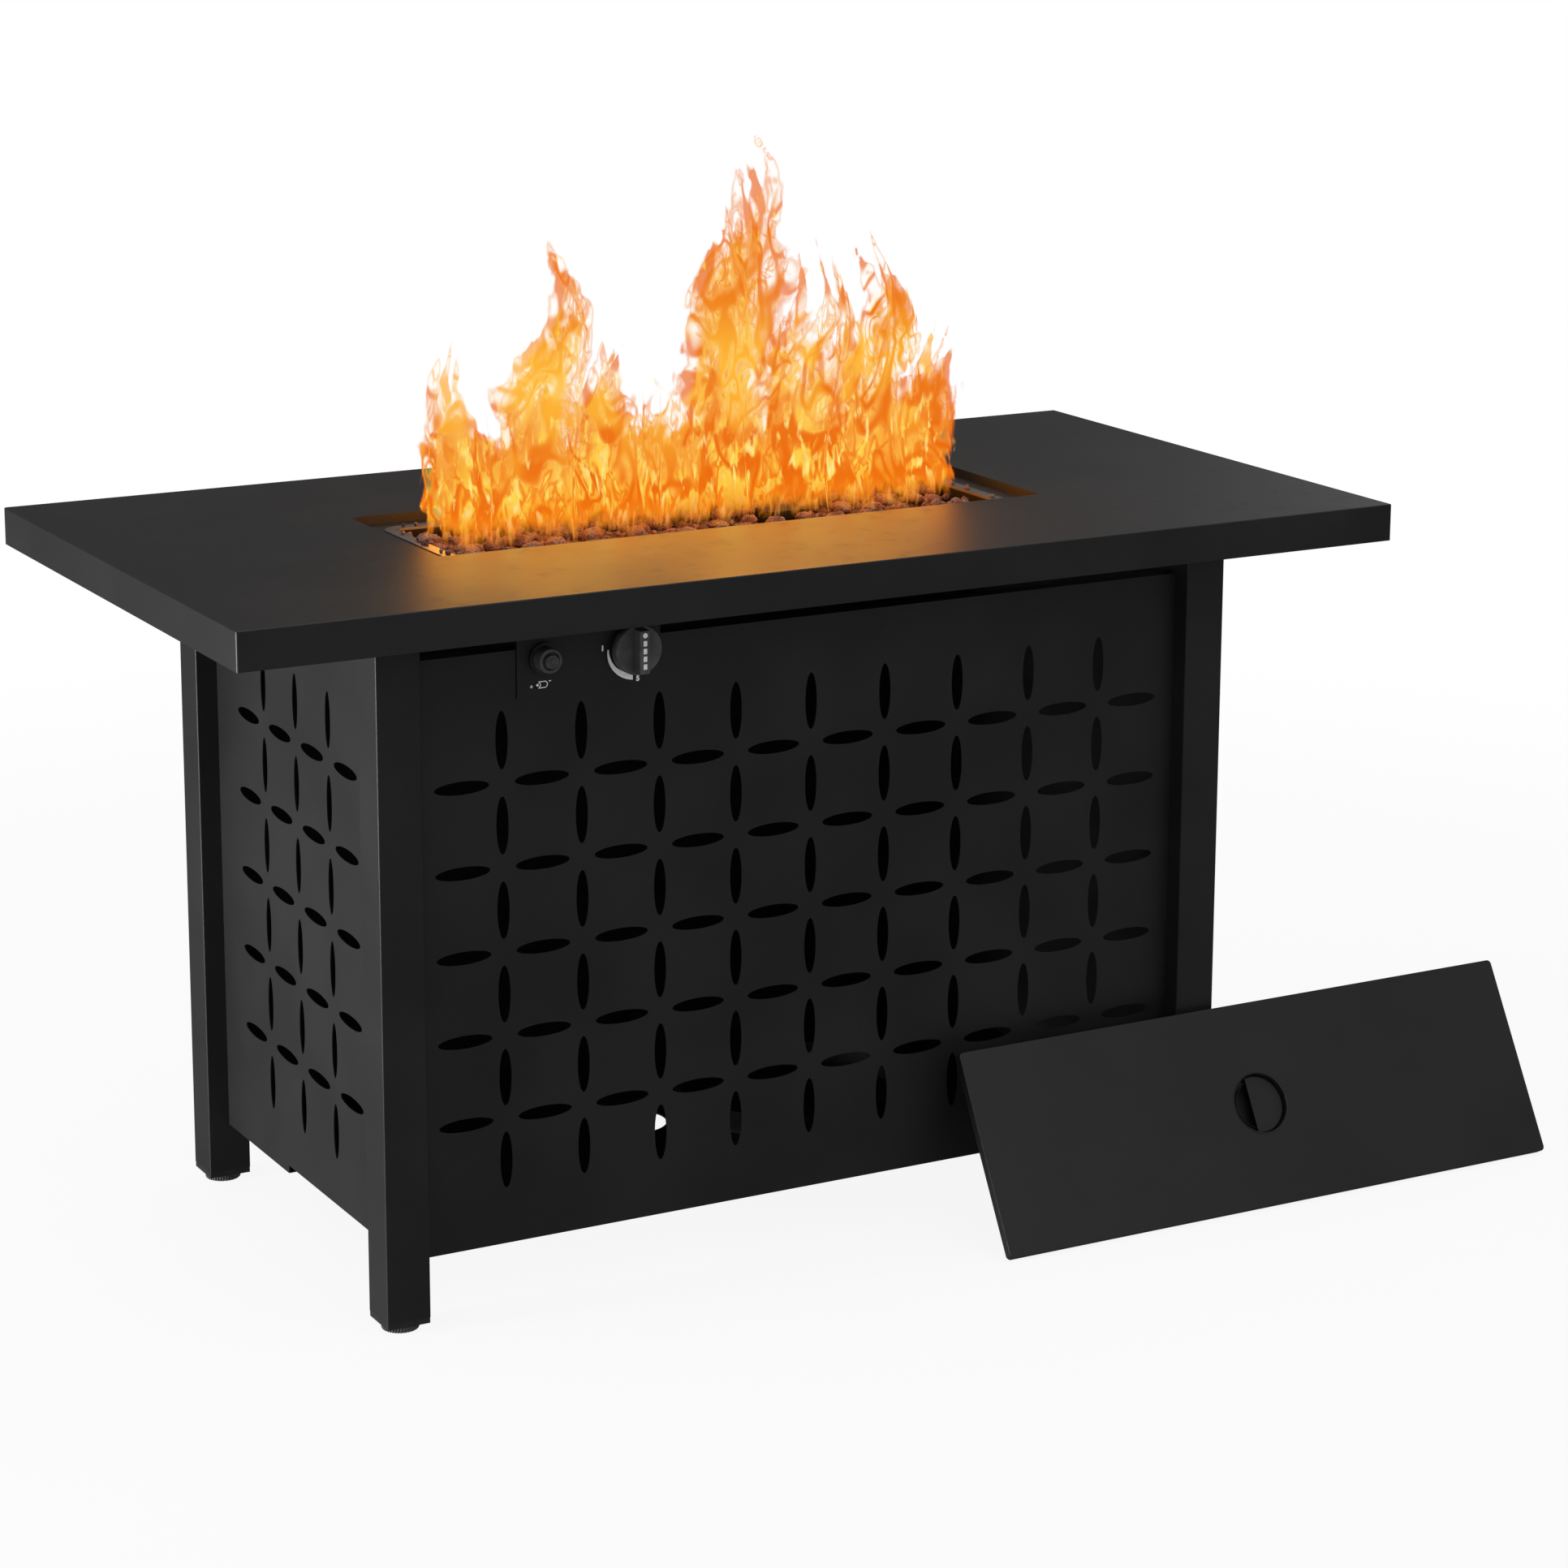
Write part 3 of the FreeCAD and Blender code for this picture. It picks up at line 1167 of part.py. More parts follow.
def make_lava_bed():
    """Deeper layer of lava stone as one solid, hollow over the burner and round the hood."""
    bed = Piece("lava_bed")
    long_way = "pan_length - 2 * pan_sheet - 2 * seat_gap"
    cross_way = "pan_width - 2 * pan_sheet - 2 * seat_gap"
    drawn = bed.sketch("XY", "seat_gap")
    rectangle(drawn, long_way, cross_way)
    bed.pad(drawn, "bed_height - seat_gap")
    bed.fillet("pan_corner - pan_sheet",
               outward_corner(value(f"({long_way}) / 2"), value(f"({cross_way}) / 2")))
    drawn = bed.sketch("XY")
    wide = "2 * (burner_radius + strap_sheet + running_gap + seat_gap)"
    rectangle(drawn, "burner_length + 2 * seat_gap", wide)
    bed.pocket(drawn, "burner_lift + 2 * burner_radius + strap_sheet + seat_gap")
    drawn = bed.sketch("XY")
    for side in (-1, 1):
        rectangle(drawn, "strap_width + 2 * seat_gap", f"{wide} + strap_width", f"{side} * strap_place")
    bed.pocket(drawn, "strap_sheet + seat_gap")
    drawn = bed.sketch("XY")
    rectangle(drawn, "hood_length + 2 * seat_gap", "hood_width + 2 * seat_gap", "hood_place",
              "hood_offset + hood_width / 2")
    bed.pocket(drawn)
    place(bed.body, z="pan_floor")


def rock(dice, radius, height):
    """Lump with twenty faces inside a circle of the given radius, standing on Z zero."""
    golden = (1 + math.sqrt(5)) / 2
    knobs = [Vector(0, a, b * golden) for a in (-1, 1) for b in (-1, 1)]
    knobs += [Vector(v.y, v.z, 0) for v in knobs[:4]] + [Vector(v.z, 0, v.y) for v in knobs[:4]]
    reach = math.hypot(1, golden)
    faces = [(i, j, k) for i in range(12) for j in range(i) for k in range(j)
             if all(abs((knobs[a] - knobs[b]).Length - 2) < 0.01 for a, b in ((i, j), (j, k), (i, k)))]
    axis = Vector(dice.uniform(-1, 1), dice.uniform(-1, 1), dice.uniform(-1, 1))
    turn = Rotation(axis, dice.uniform(0, 360))
    flat = dice.uniform(0.75, 1)
    lumps = []
    for knob in knobs:
        spot = turn.multVec(knob) * (dice.uniform(0.78, 1) / reach)
        lumps.append(Vector(spot.x * radius, spot.y * radius * flat, spot.z * height / 2))
    foot = min(v.z for v in lumps)
    lumps = [v - Vector(0, 0, foot) for v in lumps]
    middle = sum((v for v in lumps), Vector()) * (1 / 12)
    shell = []
    for a, b, c in faces:
        p, q, r = lumps[a], lumps[b], lumps[c]
        if (q - p).cross(r - p).dot((p + q + r) * (1 / 3) - middle) < 0:
            q, r = r, q
        shell.append(Part.Face(Part.makePolygon([p, q, r, p])))
    return Part.Solid(Part.Shell(shell))


def make_lava_rocks():
    """Loose lumps of lava rock on the bed, large ones first and smaller ones between them."""
    dice = random.Random(42)
    half_x = value("pan_length / 2 - pan_sheet - seat_gap")
    half_y = value("pan_width / 2 - pan_sheet - seat_gap")
    gap, level, tallest = value("seat_gap"), value("bed_top + seat_gap"), value("rock_tallest")
    hood = (value("hood_place"), value("hood_offset + hood_width / 2"),
            value("hood_length / 2"), value("hood_width / 2"))
    cup_low = value("ledge_top + lid_depth - pull_pocket_depth - pull_sheet") - level - 1
    cup_reach = value("pull_pocket + pull_sheet")
    placed = []
    largest, smallest = value("rock_largest"), value("rock_smallest")
    for step in range(6000):
        radius = largest - (largest - smallest) * min(1, step / 4000)
        x = dice.uniform(-half_x + radius, half_x - radius)
        y = dice.uniform(-half_y + radius, half_y - radius)
        beside = max(abs(x - hood[0]) - hood[2], abs(y - hood[1]) - hood[3])
        if beside < radius + gap:
            continue
        if any(math.hypot(x - u, y - v) < radius + size + gap for u, v, size, _ in placed):
            continue
        height = min(tallest, 1.55 * radius)
        if math.hypot(x, y) < cup_reach + radius:
            height = min(height, cup_low)
        placed.append((x, y, radius, height))
    rocks = []
    for x, y, radius, height in placed:
        solid = rock(dice, radius, height)
        solid.translate(Vector(x, y, level))
        rocks.append(solid)
    bed = keep(doc.addObject("Part::Feature", "lava_rocks"), "lava_rocks")
    bed.Shape = Part.Compound(rocks)


def make_lid():
    """Folded sheet lid, leaning on the front right leg, with a round flush pull."""
    def lean(body):
        place(body, "lid_place", "-lid_back", "lid_lift", Rotation(Vector(1, 0, 0), 60))
        bind(body, "Placement.Rotation.Angle", "90 - lean_angle")

    lid = Piece("lid")
    drawn = lid.sketch("XY", "-lid_depth")
    rectangle(drawn, "lid_length", "lid_width", y="lid_width / 2")
    lid.pad(drawn, "lid_depth")
    half = value("lid_length / 2")
    wide = value("lid_width")
    lid.fillet("lid_corner", lambda edge: upright(edge) and abs(abs(edge.CenterOfMass.x) - half) < 0.01
               and min(abs(edge.CenterOfMass.y), abs(edge.CenterOfMass.y - wide)) < 0.01)
    drawn = lid.sketch("XY", "-lid_depth")
    rectangle(drawn, "lid_length - 2 * lid_sheet", "lid_width - 2 * lid_sheet", y="lid_width / 2")
    lid.pocket(drawn, "lid_depth - lid_sheet")
    inner = value("lid_length / 2 - lid_sheet")
    lid.fillet("lid_corner - lid_sheet", lambda edge: upright(edge)
               and abs(abs(edge.CenterOfMass.x) - inner) < 0.01)
    lid.fillet("lid_edge", lambda edge: all(abs(v.Z) < 0.01 for v in edge.Vertexes))
    drawn = lid.sketch("XY", "-lid_depth")
    circle(drawn, "pull_recess + pull_sheet + running_gap", y="lid_width / 2")
    lid.pocket(drawn)
    lean(lid.body)

    cup = Piece("lid_pull_cup")
    drawn = cup.sketch("XZ", "-lid_width / 2")
    wall = "pull_recess + pull_sheet"
    step = "pull_pocket + pull_sheet"
    ledge = "-grip_plate_depth - grip_plate_sheet"
    outline(drawn, (("0", "-pull_pocket_depth - pull_sheet"), (step, "-pull_pocket_depth - pull_sheet"),
                    (step, "-pull_recess_depth - pull_sheet"), (wall, "-pull_recess_depth - pull_sheet"),
                    (wall, "0"), ("pull_rim", "0"), ("pull_rim", "pull_rim_height"),
                    ("pull_recess", "pull_rim_height"), ("pull_recess", "-pull_recess_depth"),
                    (step, "-pull_recess_depth"), (step, ledge), ("pull_pocket", ledge),
                    ("pull_pocket", "-pull_pocket_depth"), ("0", "-pull_pocket_depth")))
    cup.revolve(drawn)
    lean(cup.body)

    plate = Piece("lid_pull_plate")
    drawn = plate.sketch("XY", ledge)
    circle(drawn, "grip_plate_radius", y="lid_width / 2")
    plate.pad(drawn, "grip_plate_sheet")
    drawn = plate.sketch("XY", ledge)
    outline(drawn, (("-2 * grip_plate_radius", "-lid_width"), ("-grip_plate_cut", "-lid_width"),
                    ("-grip_plate_cut", "2 * lid_width"), ("-2 * grip_plate_radius", "2 * lid_width")))
    plate.pocket(drawn)
    lean(plate.body)


def check_and_write():
    """Refuse a failed object or an invalid shape, then write one file for each piece."""
    doc.recompute()
    for thing in doc.Objects:
        if {"Invalid", "Error"} & set(thing.State):
            raise RuntimeError(f"{thing.Label} failed: {thing.State}")
    bad = [thing.Label for thing in parts
           if thing.Shape.isNull() or not thing.Shape.isValid() or not thing.Shape.Solids]
    if bad:
        raise RuntimeError(f"no valid solid: {bad}")
    os.makedirs("parts", exist_ok=True)
    for thing in parts:
        thing.Shape.exportStep(f"parts/{thing.Label}.step")
        print(f"{thing.Label}: {len(thing.Shape.Solids)} solids, {thing.Shape.Volume:.1f} mm3")


fill_sheet()
make_table_top()
for corner in CORNERS:
    make_leg(*corner)
make_leg_plugs()
for corner in CORNERS:
    make_foot(*corner)
make_leg_brackets()
make_panels()
make_panel_screws()
make_bottom_tray()
make_access_door()
make_door_fittings()
make_control_plate()
make_valve()
make_knob()
make_igniter()
make_burner_pan()
make_burner()
make_gas_feed()
make_pilot()
make_lava_bed()
make_lava_rocks()
make_lid()
check_and_write()
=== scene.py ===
import json
import logging
import math
import random
from dataclasses import dataclass, field
from enum import Enum
from typing import Callable, Iterable, Sequence

import bmesh
import bpy
from mathutils import Matrix, Vector, noise


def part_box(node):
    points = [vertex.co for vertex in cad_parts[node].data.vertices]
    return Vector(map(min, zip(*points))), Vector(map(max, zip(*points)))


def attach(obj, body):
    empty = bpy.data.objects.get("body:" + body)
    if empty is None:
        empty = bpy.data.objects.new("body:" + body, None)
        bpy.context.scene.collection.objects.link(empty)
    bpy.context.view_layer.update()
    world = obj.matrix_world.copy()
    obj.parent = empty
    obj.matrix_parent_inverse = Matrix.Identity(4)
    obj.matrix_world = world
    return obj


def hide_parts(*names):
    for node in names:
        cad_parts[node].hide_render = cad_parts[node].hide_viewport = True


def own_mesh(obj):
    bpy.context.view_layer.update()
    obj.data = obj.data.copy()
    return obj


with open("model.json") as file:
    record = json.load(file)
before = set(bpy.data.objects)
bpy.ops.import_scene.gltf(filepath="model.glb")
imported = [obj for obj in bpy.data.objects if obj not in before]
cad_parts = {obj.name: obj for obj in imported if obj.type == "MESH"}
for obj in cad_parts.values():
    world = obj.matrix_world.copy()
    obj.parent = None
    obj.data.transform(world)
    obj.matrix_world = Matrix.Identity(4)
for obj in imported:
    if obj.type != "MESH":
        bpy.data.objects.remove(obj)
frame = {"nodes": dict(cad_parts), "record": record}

log = logging.getLogger("fire_table")

Colour = tuple[float, float, float]
Profile = list[tuple[float, float]]
MM = 0.001
INK = 0.12  # thickness of the printed marks, in millimetres


class Slot(str, Enum):
    """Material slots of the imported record."""

    COAT = "black_coat"
    PLASTIC = "black_plastic"
    GLOSS = "gloss_black"
    ZINC = "zinc"
    STAINLESS = "stainless"
    ALLOY = "cast_alloy"
    BRASS = "brass"
    BATTERY = "battery"
    CERAMIC = "ceramic"
    LAVA = "lava"


class Extra(str, Enum):
    """Finishes of new pieces that differ from the finish of their slot."""

    FOOT = "foot_plastic"
    PULL = "pull_painted_shade"
    PRINT = "white_print"


class Body(str, Enum):
    """Bodies of the frame that new pieces ride on."""

    TABLE = "table"
    KNOB = "knob"
    CAP = "cap"
    BUTTON = "button"
    LID = "lid"
    FOOT_FL = "foot_fl"
    FOOT_FR = "foot_fr"
    FOOT_RL = "foot_rl"
    FOOT_RR = "foot_rr"


class Wire:
    """One output socket, with arithmetic that adds Math nodes."""

    def __init__(self, recipe: "Recipe", socket: bpy.types.NodeSocket) -> None:
        """Keep the socket and the recipe that it belongs to."""
        self.recipe = recipe
        self.socket = socket

    def __add__(self, other: "Wire | float") -> "Wire":
        """Sum."""
        return self.recipe.math("ADD", self, other)

    def __radd__(self, other: float) -> "Wire":
        """Sum with a number in front."""
        return self.recipe.math("ADD", other, self)

    def __sub__(self, other: "Wire | float") -> "Wire":
        """Difference."""
        return self.recipe.math("SUBTRACT", self, other)

    def __rsub__(self, other: float) -> "Wire":
        """Difference from a number."""
        return self.recipe.math("SUBTRACT", other, self)

    def __mul__(self, other: "Wire | float") -> "Wire":
        """Product."""
        return self.recipe.math("MULTIPLY", self, other)

    def __rmul__(self, other: float) -> "Wire":
        """Product with a number in front."""
        return self.recipe.math("MULTIPLY", other, self)

    def between(self, low: float, high: float) -> "Wire":
        """Smooth step from 0 at low to 1 at high."""
        settings = {"interpolation_type": "SMOOTHSTEP"}
        return self.recipe.node("ShaderNodeMapRange", settings, {0: self, 1: low, 2: high})


Value = Wire | float | Sequence[float]


class Recipe:
    """The nodes of one material, or of the world."""

    def __init__(self, name: str, world: bool = False) -> None:
        """Start an empty node tree with an output.

        Args:
            name: The material's name.
            world: Whether it is the world's tree and not a material's.
        """
        self.owner = (bpy.data.worlds if world else bpy.data.materials).new(name)
        self.owner.use_nodes = True
        self.tree = self.owner.node_tree
        self.tree.nodes.clear()
        kind = "ShaderNodeOutputWorld" if world else "ShaderNodeOutputMaterial"
        self.output = self.tree.nodes.new(kind)

    def node(self, kind: str, settings: dict[str, object] | None = None,
             sockets: dict[str | int, Value] | None = None, out: str | int = 0) -> Wire:
        """Add a node.

        Args:
            kind: The node's type.
            settings: Its own settings; a ramp's are a list of (place, colour) under "stops".
            sockets: Values or wires by the input's name or number.
            out: The output that is wanted.

        Returns:
            That output.
        """
        made = self.tree.nodes.new(kind)
        for key, setting in (settings or {}).items():
            if key == "stops":
                self._fill_ramp(made.color_ramp, setting)
            else:
                setattr(made, key, setting)
        for key, given in (sockets or {}).items():
            if isinstance(given, Wire):
                self.tree.links.new(given.socket, made.inputs[key])
            else:
                made.inputs[key].default_value = given
        return Wire(self, made.outputs[out])

    @staticmethod
    def _fill_ramp(ramp: bpy.types.ColorRamp, stops: Sequence[tuple[float, Colour]]) -> None:
        """Set a ramp's stops.

        Args:
            ramp: The ramp.
            stops: A place from 0 to 1 and a colour for each stop.
        """
        while len(ramp.elements) < len(stops):
            ramp.elements.new(0.5)
        for element, (spot, colour) in zip(ramp.elements, stops):
            element.position = spot
            element.color = (*colour, 1.0)

    def math(self, operation: str, *values: "Wire | float") -> Wire:
        """Math node on numbers."""
        return self.node("ShaderNodeMath", {"operation": operation}, dict(enumerate(values)))

    def mix(self, factor: Value, first: Value, second: Value) -> Wire:
        """Mix two colours."""
        given = {0: factor, 6: _rgba(first), 7: _rgba(second)}
        return self.node("ShaderNodeMix", {"data_type": "RGBA"}, given, out=2)

    def place(self, scale: Sequence[float] = (1, 1, 1)) -> Wire:
        """Object coordinates in metres, scaled along each axis."""
        spot = self.node("ShaderNodeTexCoord", out="Object")
        return self.node("ShaderNodeMapping", {}, {"Vector": spot, "Scale": scale})

    def axis(self, name: str, of: Wire | None = None) -> Wire:
        """One coordinate of a vector, or of the place where none is given."""
        return self.node("ShaderNodeSeparateXYZ", {}, {0: self.place() if of is None else of}, out=name)

    def grain(self, size: float, detail: float = 2.0, stretch: Sequence[float] = (1, 1, 1),
              rough: float = 0.5, curl: float = 0.0) -> Wire:
        """Noise whose spots are about size metres across.

        Args:
            size: Size of a spot.
            detail: Number of finer layers.
            stretch: How much longer a spot is along each axis.
            rough: Weight of the finer layers.
            curl: How much the spots are twisted.

        Returns:
            A value about one half.
        """
        scale = [1 / (size * s) for s in stretch]
        given = {"Vector": self.place(scale), "Scale": 1.0, "Detail": detail, "Roughness": rough,
                 "Distortion": curl}
        return self.node("ShaderNodeTexNoise", {}, given)

    def cells(self, size: float) -> Wire:
        """Distance to the nearest of the points of a Voronoi pattern, about size metres apart."""
        given = {"Vector": self.place([1 / size] * 3), "Scale": 1.0}
        return self.node("ShaderNodeTexVoronoi", {"feature": "F1"}, given)

    def bump(self, height: Wire, depth: float) -> Wire:
        """Bump of a given depth in metres."""
        return self.node("ShaderNodeBump", {}, {"Height": height, "Distance": depth, "Strength": 1.0})

    def surface(self, **sockets: Value) -> bpy.types.Material:
        """Close the material with a Principled shader.

        Args:
            **sockets: Its inputs, with underscores for spaces.

        Returns:
            The material.
        """
        given = {key.replace("_", " "): value for key, value in sockets.items()}
        if "Base Color" in given:
            given["Base Color"] = _rgba(given["Base Color"])
        return self.close(self.node("ShaderNodeBsdfPrincipled", {}, given))

    def close(self, shader: Wire) -> bpy.types.ID:
        """Send a shader to the output."""
        self.tree.links.new(shader.socket, self.output.inputs["Surface"])
        return self.owner


def _rgba(value: Value) -> Value:
    """A plain colour gets its alpha; a wire stays as it is."""
    return value if isinstance(value, Wire) else (*value, 1.0)


@dataclass(frozen=True)
class PowderCoat:
    """Satin black powder coat: fine orange peel, faint mottling and a little dust on level faces."""

    low: Colour = (0.0085, 0.0085, 0.009)
    high: Colour = (0.0125, 0.0125, 0.013)
    dust: Colour = (0.024, 0.0235, 0.0225)

    def make(self) -> bpy.types.Material:
        """Build the material.

        Returns:
            The material.
        """
        r = Recipe("satin_powder_coat")
        cloud = r.grain(0.11, detail=3)
        peel = r.grain(0.0011, detail=2)
        sparkle = r.grain(0.00035, detail=1)
        up = r.axis("Z", r.node("ShaderNodeNewGeometry", out="Normal"))
        settled = up.between(0.9, 1.0) * r.grain(0.02, detail=5, rough=0.65).between(0.52, 0.78)
        colour = r.mix(cloud.between(0.3, 0.7), self.low, self.high)
        colour = r.mix(settled * 0.35, colour, self.dust)
        rough = 0.37 + cloud * 0.08 + sparkle * 0.1 + settled * 0.08
        return r.surface(Base_Color=colour, Roughness=rough, Normal=r.bump(peel, 0.00001))


@dataclass(frozen=True)
class MouldedPlastic:
    """Black moulded plastic with a fine spark-eroded grain."""

    name: str = "moulded_plastic"
    colour: Colour = (0.014, 0.014, 0.0145)
    rough: float = 0.42
    grain: float = 0.0005

    def make(self) -> bpy.types.Material:
        """Build the material.

        Returns:
            The material.
        """
        r = Recipe(self.name)
        skin = r.grain(self.grain, detail=3)
        wear = r.grain(0.012, detail=4)
        lighter = tuple(c * 1.6 for c in self.colour)
        colour = r.mix(wear.between(0.35, 0.75), self.colour, lighter)
        return r.surface(Base_Color=colour, Roughness=self.rough + wear * 0.12 - 0.04,
                         Normal=r.bump(skin, 0.000012))


@dataclass(frozen=True)
class BrushedSteel:
    """Stainless sheet brushed along X, straw tinted by the heat, with random soot spots, and painted shade
    that blackens the inside of the burner pan.
    """

    base: Colour = (0.3, 0.295, 0.285)
    tint: Colour = (0.22, 0.17, 0.12)
    # black is the colour of the random soot spots and of the painted shade inside the pan; the shade stops
    # at unshaded_above.
    black: Colour = (0.03, 0.028, 0.026)
    pan_bottom: float = 0.553
    unshaded_above: float = 0.6

    def make(self) -> bpy.types.Material:
        """Build the material.

        Returns:
            The material.
        """
        r = Recipe("brushed_stainless")
        streak = r.grain(0.0004, detail=3, stretch=(90, 1, 1))
        heat = r.grain(0.045, detail=3).between(0.45, 0.75)
        darkening = r.grain(0.012, detail=5, rough=0.7).between(0.55, 0.8)
        colour = r.mix(heat * 0.55, self.base, self.tint)
        z = r.axis("Z")
        # Painted shade: the inside of the burner pan, from its bottom up to just under the rim, is darkened
        # to black.
        inside = z.between(self.pan_bottom, self.pan_bottom + 0.003)
        inside = inside * (1 - z.between(self.unshaded_above, self.unshaded_above + 0.0015))
        # darkening holds both the random soot spots and the painted shade inside the pan.
        darkening = r.math("MAXIMUM", darkening * 0.6, inside)
        colour = r.mix(darkening, colour, self.black)
        rough = 0.34 + streak * 0.16 + darkening * 0.25
        return r.surface(Base_Color=colour, Metallic=1.0, Roughness=rough, Normal=r.bump(streak, 0.000006))


@dataclass(frozen=True)
class Plated:
    """Small turned or cast metal parts."""

    name: str
    colour: Colour
    second: Colour
    rough: float = 0.3
    spot: float = 0.004
    depth: float = 0.000008

    def make(self) -> bpy.types.Material:
        """Build the material.

        Returns:
            The material.
        """
        r = Recipe(self.name)
        patch = r.grain(self.spot, detail=4)
        fine = r.grain(0.0006, detail=2)
        colour = r.mix(patch.between(0.3, 0.7), self.colour, self.second)
        return r.surface(Base_Color=colour, Metallic=1.0, Roughness=self.rough + patch * 0.15,
                         Normal=r.bump(fine, self.depth))


@dataclass(frozen=True)
class CellCan:
    """Battery can: a grey sleeve with a plain band towards the back."""

    sleeve: Colour = (0.12, 0.12, 0.125)
    second: Colour = (0.5, 0.42, 0.28)
    band_from: float = -0.172

    def make(self) -> bpy.types.Material:
        """Build the material.

        Returns:
            The material.
        """
        r = Recipe("battery_can")
        band = r.math("GREATER_THAN", r.axis("Y"), self.band_from)
        scuff = r.grain(0.003, detail=4)
        colour = r.mix(band, self.sleeve, self.second)
        return r.surface(Base_Color=colour, Metallic=0.6, Roughness=0.28 + scuff * 0.15)


@dataclass(frozen=True)
class Ceramic:
    """Glazed ceramic sleeve, sooted towards its tip."""

    glaze: Colour = (0.72, 0.71, 0.66)
    darkening: Colour = (0.09, 0.08, 0.07)
    clean_below: float = 0.562
    black_above: float = 0.58

    def make(self) -> bpy.types.Material:
        """Build the material.

        Returns:
            The material.
        """
        r = Recipe("glazed_ceramic")
        smoke = r.axis("Z").between(self.clean_below, self.black_above)
        smoke = smoke * r.grain(0.004, detail=4).between(0.3, 0.7)
        colour = r.mix(smoke * 0.8, self.glaze, self.darkening)
        return r.surface(Base_Color=colour, Roughness=0.18 + smoke * 0.4)


@dataclass(frozen=True)
class LavaStone:
    """Porous stone, rust red to charcoal from lump to lump, pitted all over, with painted shade darkening
    its pits.
    """

    stops: tuple[tuple[float, Colour], ...] = (
        (0.28, (0.045, 0.03, 0.027)), (0.42, (0.17, 0.08, 0.062)), (0.52, (0.32, 0.15, 0.11)),
        (0.62, (0.27, 0.2, 0.16)), (0.74, (0.46, 0.32, 0.26)))
    pore_shade: Colour = (0.008, 0.006, 0.005)

    def make(self) -> bpy.types.Material:
        """Build the material.

        Returns:
            The material.
        """
        r = Recipe("lava_stone")
        lump = r.grain(0.016, detail=1)
        speck = r.grain(0.0016, detail=4, rough=0.7)
        colour = r.node("ShaderNodeValToRGB", {"stops": self.stops}, {0: lump * 0.75 + speck * 0.25})
        pores = r.cells(0.0021)
        crumbs = r.cells(0.0055)
        # Painted shade: the pits of the pores are darkened towards a near-black colour.
        pit_shade = 1 - pores.between(0.1, 0.55)
        colour = r.mix(pit_shade * 0.75, colour, self.pore_shade)
        height = pores.between(0.05, 0.6) * 0.5 + crumbs * 0.7 + speck * 0.5
        return r.surface(Base_Color=colour, Roughness=0.95, Normal=r.bump(height, 0.0009))


@dataclass(frozen=True)
class WhitePrint:
    """White marks printed on the plate and the knob."""

    thin: Colour = (0.72, 0.72, 0.71)
    full: Colour = (0.84, 0.84, 0.83)

    def make(self) -> bpy.types.Material:
        """Build the material.

        Returns:
            The material.
        """
        r = Recipe("white_print")
        colour = r.mix(r.grain(0.0008, detail=3).between(0.35, 0.7), self.thin, self.full)
        return r.surface(Base_Color=colour, Roughness=0.5)


